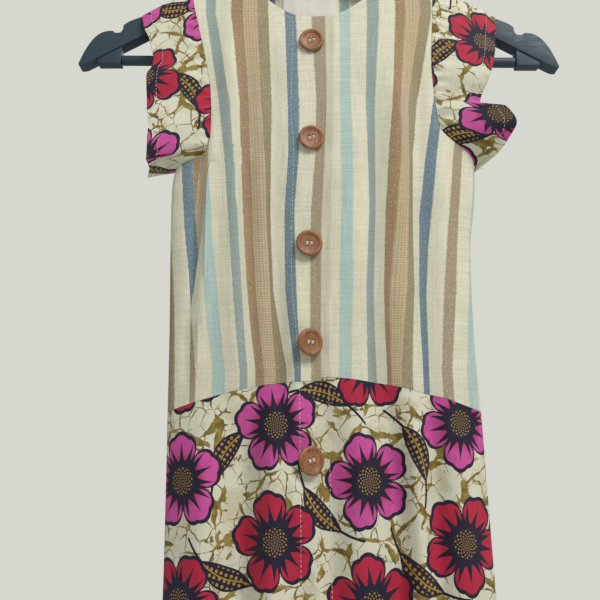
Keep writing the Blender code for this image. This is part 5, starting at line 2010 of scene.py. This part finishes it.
@dataclass
class Button:
    """A dished wooden button with a raised rim, sewn on through four holes."""

    finishes: Finishes
    radius: float = 0.0110
    body_low: float = 0.0010
    body_high: float = 0.0024
    back_radius: float = 0.0092
    hole_radius: float = 0.0009
    hole_spacing: float = 0.0036
    thread_radius: float = 0.00035
    sides: int = 56

    def ring(self, inset: float, rise: float) -> None:
        """Inset the selected face and move it up or down."""
        bpy.ops.mesh.inset(thickness=inset, depth=0)
        bpy.ops.transform.translate(value=(0, 0, rise))

    def select_end(self, mesh: bpy.types.Mesh, top: bool) -> None:
        """Select the flat face at one end alone."""
        bpy.ops.mesh.select_mode(type="FACE")
        bpy.ops.mesh.select_all(action="DESELECT")
        shape = bmesh.from_edit_mesh(mesh)
        faces = sorted(shape.faces, key=lambda face: face.calc_center_median().z)
        (faces[-1] if top else faces[0]).select_set(True)
        bmesh.update_edit_mesh(mesh)

    def blank(self) -> bpy.types.Object:
        """The turned button with its back at the origin and its face up, before it is placed."""
        deselect()
        bpy.ops.mesh.primitive_cylinder_add(
            vertices=self.sides, radius=self.radius, depth=self.body_high - self.body_low,
            location=(0, 0, (self.body_high + self.body_low) / 2),
        )
        thing = bpy.context.object
        bpy.ops.object.transform_apply(location=True, rotation=False, scale=False)
        bpy.ops.object.mode_set(mode="EDIT")
        self.select_end(thing.data, True)
        for inset, rise in ((0.0010, 0.0012), (0.0017, -0.0002), (0.0010, -0.0012), (0.0034, -0.0002)):
            self.ring(inset, rise)
        self.select_end(thing.data, False)
        self.ring(self.radius - self.back_radius, -self.body_low)
        bpy.ops.object.mode_set(mode="OBJECT")
        bevel = thing.modifiers.new("turned_edges", "BEVEL")
        bevel.width = 0.00045
        bevel.segments = 3
        bevel.limit_method = "ANGLE"
        bevel.angle_limit = math.radians(20)
        apply_all(thing)
        self.drill(thing)
        make_active(thing)
        bpy.ops.object.shade_smooth_by_angle(angle=math.radians(35))
        return thing

    def drill(self, thing: bpy.types.Object) -> None:
        """Cut the four holes."""
        reach = self.hole_spacing / 2
        cutters = []
        for side in (-1, 1):
            for end in (-1, 1):
                deselect()
                bpy.ops.mesh.primitive_cylinder_add(
                    vertices=20, radius=self.hole_radius, depth=0.02, location=(side * reach, end * reach, 0),
                )
                cutters.append(bpy.context.object)
        for cutter in cutters:
            cut = thing.modifiers.new("hole", "BOOLEAN")
            cut.operation = "DIFFERENCE"
            cut.object = cutter
        apply_all(thing)
        for cutter in cutters:
            bpy.data.objects.remove(cutter)

    def place(self, x: float, z: float, angle: float) -> Vector:
        """Centre of the flat back, so that the back and the edge just clear the band."""
        reach = [FORM.plain_front_y(x, z)]
        for radius, height in ((self.back_radius, 0.0), (self.radius, self.body_low)):
            for step in range(24):
                turned = 2 * math.pi * step / 24
                side = radius * math.cos(turned)
                there = x + side * math.cos(angle) + height * math.sin(angle)
                cloth = FORM.plain_front_y(there, z + radius * math.sin(turned))
                reach.append(cloth - side * math.sin(angle) + height * math.cos(angle))
        return Vector((x, min(reach) - FORM.seam_gap, z))

    def thread_mesh(self) -> bpy.types.Mesh:
        """Two bars of thread between the holes, and the shank behind."""
        shape = bmesh.new()
        reach = self.hole_spacing / 2
        for side in (-1, 1):
            for strand in (-1, 0, 1):
                x = side * reach + strand * self.thread_radius * 1.3
                path = []
                for step in range(9):
                    share = step / 8
                    y = mix(-reach, reach, share)
                    rise = 0.0024 * (1 - abs(2 * share - 1) ** 3) - 0.0001
                    path.append(Vector((x, y * 1.04, rise + 0.0003 * (strand == 0))))
                tube(shape, path, lambda share: self.thread_radius, 8)
        for strand in range(4):
            turned = math.pi / 4 + strand * math.pi / 2
            x, y = 0.0009 * math.cos(turned), 0.0009 * math.sin(turned)
            ends = [Vector((x, y, 0.0002)), Vector((x * 0.6, y * 0.6, -0.0024))]
            tube(shape, ends, lambda share: 0.0004, 8)
        bmesh.ops.recalc_face_normals(shape, faces=shape.faces)
        mesh = bpy.data.meshes.new("button_thread")
        shape.to_mesh(mesh)
        shape.free()
        return mesh

    def build(self) -> list[bpy.types.Object]:
        """Build every button from one blank, each with its own mesh."""
        blank = self.blank()
        thread = self.thread_mesh()
        made = []
        for index, (x, z, degrees, holes) in enumerate(BUTTONS, start=1):
            angle = math.radians(degrees)
            turn = Matrix.Rotation(math.radians(holes), 4, "Z")
            facing = Matrix.Rotation(angle, 4, "Z") @ Matrix.Rotation(math.radians(90), 4, "X") @ turn
            place = Matrix.Translation(self.place(x, z, angle)) @ facing
            wood = blank.data.copy()
            wood.transform(place)
            button = add_object(f"wooden_button_{index}", wood, self.finishes.wood)
            dress_piece(button, Slot.WOOD, f"button_{index}")
            sewing = thread.copy()
            sewing.transform(place)
            strands = add_object(f"button_thread_{index}", sewing, self.finishes.thread)
            dress_piece(strands, Slot.STRIPED)
            made += [button, strands]
        bpy.data.objects.remove(blank)
        return made


@dataclass
class Hanger:
    """Moulded arms with strap notches, a bar between them and a wire hook."""

    finishes: Finishes
    half_depth: float = 0.0060
    height: float = 0.0205
    corner: float = 0.0018
    boss_half_width: float = 0.014
    boss_top: float = -0.0835
    bar_z: float = -0.2015
    bar_radius: float = 0.0045
    socket_start: float = 0.1798
    socket_end: float = 0.2010
    socket_low: float = -0.2070
    socket_top: float = -0.1860
    socket_half_depth: float = 0.0048
    end_start: float = 0.1625
    end_top: float = -0.1595
    end_top_slope: float = 0.54
    end_low: float = -0.1800
    end_low_slope: float = 0.585
    notch_start: float = 0.1790
    notch_width: float = 0.0100
    notch_floor: float = -0.1765
    nose_top: float = -0.1745
    nose_power: float = 2.6
    nose_steps: int = 8
    tip_x: float = 0.2175
    tip_top: float = -0.2080
    tip_round_start: float = 0.2100
    tip_round: float = 50.0
    wire_radius: float = 0.0020
    hook_radius: float = 0.0200
    hook_start: float = -50
    hook_end: float = 205
    stem_top: float = -0.058
    stem_reach: float = 0.011
    stations: int = 44
    lower_edge_band: float = 0.002
    upper_edge_share: float = 0.45
    socket_edge: float = 0.0008
    bar_edge: float = 0.0006
    smooth_angle: float = 38

    def end_low_edge(self, off: float) -> float:
        """Lower edge of the arm's end: straight, then rounded up to the tip."""
        even = self.end_low - self.end_low_slope * (off - self.end_start)
        return even + self.tip_round * max(off - self.tip_round_start, 0.0) ** 2

    def end_rows(self) -> Table:
        """Rows along the arm's end, with the strap notch and the nose.

        Returns:
            Distance from the middle, top edge and lower edge of each row.
        """
        shoulder = self.end_top - self.end_top_slope * (self.notch_start - self.end_start)
        tops = [
            (self.end_start, self.end_top),
            (self.notch_start, shoulder),
            (self.notch_start + 0.05 * self.notch_width, mix(shoulder, self.notch_floor, 0.6)),
            (self.notch_start + 0.35 * self.notch_width, self.notch_floor),
            (self.notch_start + 0.75 * self.notch_width, self.notch_floor),
        ]
        for step in range(self.nose_steps + 1):
            share = math.sin(math.pi / 2 * step / self.nose_steps)
            off = mix(self.notch_start + self.notch_width, self.tip_x, share)
            tops.append((off, mix(self.nose_top, self.tip_top, share ** self.nose_power)))
        return [(off, top, self.end_low_edge(off)) for off, top in tops]

    def outline(self, x: float) -> Point:
        """Top and lower edge of the arms at a distance from the middle."""
        off = abs(x)
        lean = -FORM.arm_tilt * x
        if off >= self.end_start:
            rows = self.end_rows()
            return read(rows, off, 1) + lean, read(rows, off, 2) + lean
        top = FORM.arm_apex - FORM.arm_slope * off - FORM.arm_curve * off * off
        low = top - self.height
        if off < self.boss_half_width:
            top = self.boss_top
        return top + lean, low + lean

    def station_list(self) -> list[float]:
        """Distances from the middle at which the arms get a section."""
        half = [0.0, self.boss_half_width - 0.0005, self.boss_half_width]
        half += [mix(0.017, 0.160, step / self.stations) for step in range(self.stations + 1)]
        lug = [row[0] for row in self.end_rows()]
        half.append(lug[0])
        for start, end in zip(lug, lug[1:]):
            half += [mix(start, end, step / 3) for step in (1, 2, 3)]
        return [-x for x in reversed(half[1:])] + half

    def arms(self) -> bpy.types.Object:
        """Extrude the arms from one tip to the other, then round them."""
        stations = self.station_list()
        top, low = self.outline(stations[0])
        deselect()
        bpy.ops.mesh.primitive_plane_add(
            size=1, location=(stations[0], 0, (top + low) / 2), rotation=(0, math.pi / 2, 0),
        )
        thing = bpy.context.object
        thing.scale = (top - low, 2 * self.half_depth, 1)
        bpy.ops.object.transform_apply(location=True, rotation=True, scale=True)
        bpy.ops.object.mode_set(mode="EDIT")
        bpy.ops.mesh.select_all(action="SELECT")
        before = (stations[0], top, low)
        for x in stations[1:]:
            top, low = self.outline(x)
            move = (x - before[0], 0, (top + low - before[1] - before[2]) / 2)
            bpy.ops.mesh.extrude_region_move(TRANSFORM_OT_translate={"value": move})
            taller = (top - low) / (before[1] - before[2])
            bpy.ops.transform.resize(value=(1, 1, taller), center_override=(x, 0, (top + low) / 2))
            before = (x, top, low)
        bpy.ops.mesh.select_all(action="SELECT")
        bpy.ops.mesh.normals_make_consistent(inside=False)
        bpy.ops.object.mode_set(mode="OBJECT")
        self.chamfer(thing)
        self.add_sockets(thing)
        thing.name = "hanger_moulding"
        thing.data.materials.append(self.finishes.plastic)
        return dress_piece(thing, Slot.PLASTIC, "hanger_arms")

    def chamfer(self, thing: bpy.types.Object) -> None:
        """Cut the long lower edges at a slant and round the others."""
        weights = thing.data.attributes.new("bevel_weight_edge", "FLOAT", "EDGE")
        for edge in thing.data.edges:
            first, second = (thing.data.vertices[index].co for index in edge.vertices)
            along = abs(first.y - second.y) < 1e-6 and abs(first.x - second.x) > 1e-6
            if along:
                _, low = self.outline((first.x + second.x) / 2)
                lower = (first.z + second.z) / 2 < low + self.lower_edge_band
                weights.data[edge.index].value = 1.0 if lower else self.upper_edge_share
        bevel = thing.modifiers.new("edges", "BEVEL")
        bevel.width = self.corner
        bevel.segments = 4
        bevel.profile = 0.42
        bevel.limit_method = "WEIGHT"
        bevel.use_clamp_overlap = True
        apply_all(thing)

    def add_sockets(self, thing: bpy.types.Object) -> None:
        """Join the arms with the two blocks that hold the bar's ends."""
        blocks = []
        for sign in (-1, 1):
            middle = sign * (self.socket_start + self.socket_end) / 2
            height = (self.socket_top + self.socket_low) / 2 - FORM.arm_tilt * middle
            deselect()
            bpy.ops.mesh.primitive_cube_add(size=1, location=(middle, 0, height))
            block = bpy.context.object
            block.scale = (
                self.socket_end - self.socket_start,
                2 * self.socket_half_depth,
                self.socket_top - self.socket_low,
            )
            bpy.ops.object.transform_apply(location=True, rotation=False, scale=True)
            bevel = block.modifiers.new("block_edges", "BEVEL")
            bevel.width = self.socket_edge
            bevel.segments = 3
            apply_all(block)
            blocks.append(block)
        for block in blocks:
            union = thing.modifiers.new("socket", "BOOLEAN")
            union.operation = "UNION"
            union.object = block
        apply_all(thing)
        for block in blocks:
            bpy.data.objects.remove(block)
        make_active(thing)
        bpy.ops.object.shade_smooth_by_angle(angle=math.radians(self.smooth_angle))

    def bar(self) -> bpy.types.Object:
        """The bar, with a shoulder at each end."""
        length = 2 * (self.socket_start - 2 * FORM.seam_gap)
        deselect()
        bpy.ops.mesh.primitive_cylinder_add(
            vertices=40, radius=self.bar_radius, depth=length, location=(0, 0, self.bar_z),
            rotation=(0, math.pi / 2 + math.atan(FORM.arm_tilt), 0),
        )
        thing = bpy.context.object
        bpy.ops.object.transform_apply(location=True, rotation=True, scale=True)
        bevel = thing.modifiers.new("ends", "BEVEL")
        bevel.width = self.bar_edge
        bevel.segments = 3
        bevel.limit_method = "ANGLE"
        apply_all(thing)
        bpy.ops.object.shade_smooth_by_angle(angle=math.radians(self.smooth_angle))
        thing.name = "hanger_trouser_bar"
        thing.data.materials.append(self.finishes.plastic)
        return dress_piece(thing, Slot.PLASTIC, "hanger_bar")

    def hook_route(self) -> list[Vector]:
        """The wire's middle line: up the stem, out to one side and over the rail."""
        centre = Vector((0, 0, self.wire_radius - self.hook_radius))
        start = math.radians(self.hook_start)
        arc_start = centre + self.hook_radius * Vector((math.cos(start), 0, math.sin(start)))
        heading = Vector((-math.sin(start), 0, math.cos(start)))
        stem = Vector((0, 0, self.stem_top))
        route = [Vector((0, 0, self.boss_top + FORM.seam_gap))]
        route += [Vector((0, 0, mix(self.boss_top, self.stem_top, step / 5))) for step in range(1, 5)]
        for step in range(22):
            t = step / 22
            b, c = stem + Vector((0, 0, self.stem_reach)), arc_start - heading * self.stem_reach
            leaving = stem * (1 - t) ** 3 + 3 * b * t * (1 - t) ** 2
            route.append(leaving + 3 * c * t * t * (1 - t) + arc_start * t ** 3)
        for step in range(61):
            angle = math.radians(mix(self.hook_start, self.hook_end, step / 60))
            route.append(centre + self.hook_radius * Vector((math.cos(angle), 0, math.sin(angle))))
        return route

    def hook(self) -> bpy.types.Object:
        """The wire hook with a rounded tip."""
        shape = bmesh.new()
        route = self.hook_route()
        count = len(route)

        def radius(share: float) -> float:
            from_tip = (1 - share) * (count - 1)
            return self.wire_radius * min(1.0, math.sqrt(0.12 + 0.88 * min(from_tip / 2.0, 1.0)))

        tube(shape, route, radius, 24)
        bmesh.ops.recalc_face_normals(shape, faces=shape.faces)
        mesh = bpy.data.meshes.new("hanger_hook_wire")
        shape.to_mesh(mesh)
        shape.free()
        thing = add_object("hanger_hook_wire", mesh, self.finishes.steel)
        make_active(thing)
        bpy.ops.object.shade_smooth_by_angle(angle=math.radians(50))
        return dress_piece(thing, Slot.STEEL, "hanger_hook")

    def build(self) -> list[bpy.types.Object]:
        """Build the hanger."""
        return [self.arms(), self.bar(), self.hook()]


@dataclass
class Studio:
    """Floor, lights, backdrop colour and camera."""

    finishes: Finishes
    lens: float = 38.94
    sensor: float = 36.0
    camera_place: tuple[float, float, float] = (-0.0169, -0.5304, -0.548)
    camera_rise: float = 13.0
    floor_z: float = -0.95
    floor_size: float = 2.4
    wall: tuple[int, int, int] = (214, 215, 206)
    room_light: float = 0.45

    def camera(self) -> None:
        """Place the camera at the photograph's angle."""
        data = bpy.data.cameras.new("camera")
        data.lens = self.lens
        data.sensor_width = self.sensor
        thing = bpy.data.objects.new("camera", data)
        thing.location = self.camera_place
        thing.rotation_euler = (math.radians(90 + self.camera_rise), 0, 0)
        bpy.context.collection.objects.link(thing)
        bpy.context.scene.camera = thing

    def light(self, name: str, place: Row, aim: Row, size: float, power: float, colour: Row) -> None:
        """Add one soft square light.

        Args:
            name: The light's name.
            place: Where it hangs.
            aim: The point it faces.
            size: Length of its sides.
            power: Watts.
            colour: Its colour.
        """
        data = bpy.data.lights.new(name, "AREA")
        data.shape = "SQUARE"
        data.size = size
        data.energy = power
        data.color = colour
        thing = bpy.data.objects.new(name, data)
        thing.location = place
        thing.rotation_euler = (Vector(aim) - Vector(place)).to_track_quat("-Z", "Y").to_euler()
        bpy.context.collection.objects.link(thing)

    def build(self) -> None:
        """Build the studio."""
        deselect()
        bpy.ops.mesh.primitive_grid_add(
            x_subdivisions=8, y_subdivisions=8, size=self.floor_size, location=(0, 0, self.floor_z),
        )
        floor = bpy.context.object
        floor.name = "studio_floor"
        floor.data.materials.append(self.finishes.floor)
        middle = (0.0, 0.0, -0.42)
        self.light("key_light", (0.8, -1.1, 0.95), middle, 0.8, 30.0, (1.0, 0.98, 0.94))
        self.light("fill_light", (-1.3, -1.1, 0.3), middle, 1.2, 3.0, (0.95, 0.98, 1.0))
        self.light("back_light", (0.5, 1.4, 0.7), middle, 1.2, 16.0, (1.0, 1.0, 1.0))
        world = bpy.data.worlds.new("pale_wall")
        world.use_nodes = True
        tree = world.node_tree
        wall = tree.nodes["Background"]
        wall.inputs["Color"].default_value = paint(*self.wall)
        dimmed = tree.nodes.new("ShaderNodeBackground")
        dimmed.inputs["Color"].default_value = paint(*self.wall)
        dimmed.inputs["Strength"].default_value = self.room_light
        seen = tree.nodes.new("ShaderNodeLightPath")
        both = tree.nodes.new("ShaderNodeMixShader")
        tree.links.new(seen.outputs["Is Camera Ray"], both.inputs["Fac"])
        tree.links.new(dimmed.outputs["Background"], both.inputs[1])
        tree.links.new(wall.outputs["Background"], both.inputs[2])
        tree.links.new(both.outputs["Shader"], tree.nodes["World Output"].inputs["Surface"])
        bpy.context.scene.world = world
        bpy.context.scene.view_settings.view_transform = "Standard"
        self.camera()


def main() -> None:
    """Build the dress, its hanger and the studio."""
    logging.basicConfig(level=logging.INFO, format="%(name)s %(message)s")
    finishes = Finishes()
    Bodice(finishes).build()
    Skirt(finishes).build()
    Sleeve(finishes, Side.LEFT, LEFT_HEM_FRONT, LEFT_HEM_BACK, (0.22, 0.35), flat_from=0.93).build()
    Sleeve(finishes, Side.RIGHT, RIGHT_HEM_FRONT, RIGHT_HEM_BACK, (0.71, 0.14)).build()
    NeckLabel(finishes).build()
    Button(finishes).build()
    Hanger(finishes).build()
    Studio(finishes).build()


if __name__ == "__main__":
    main()
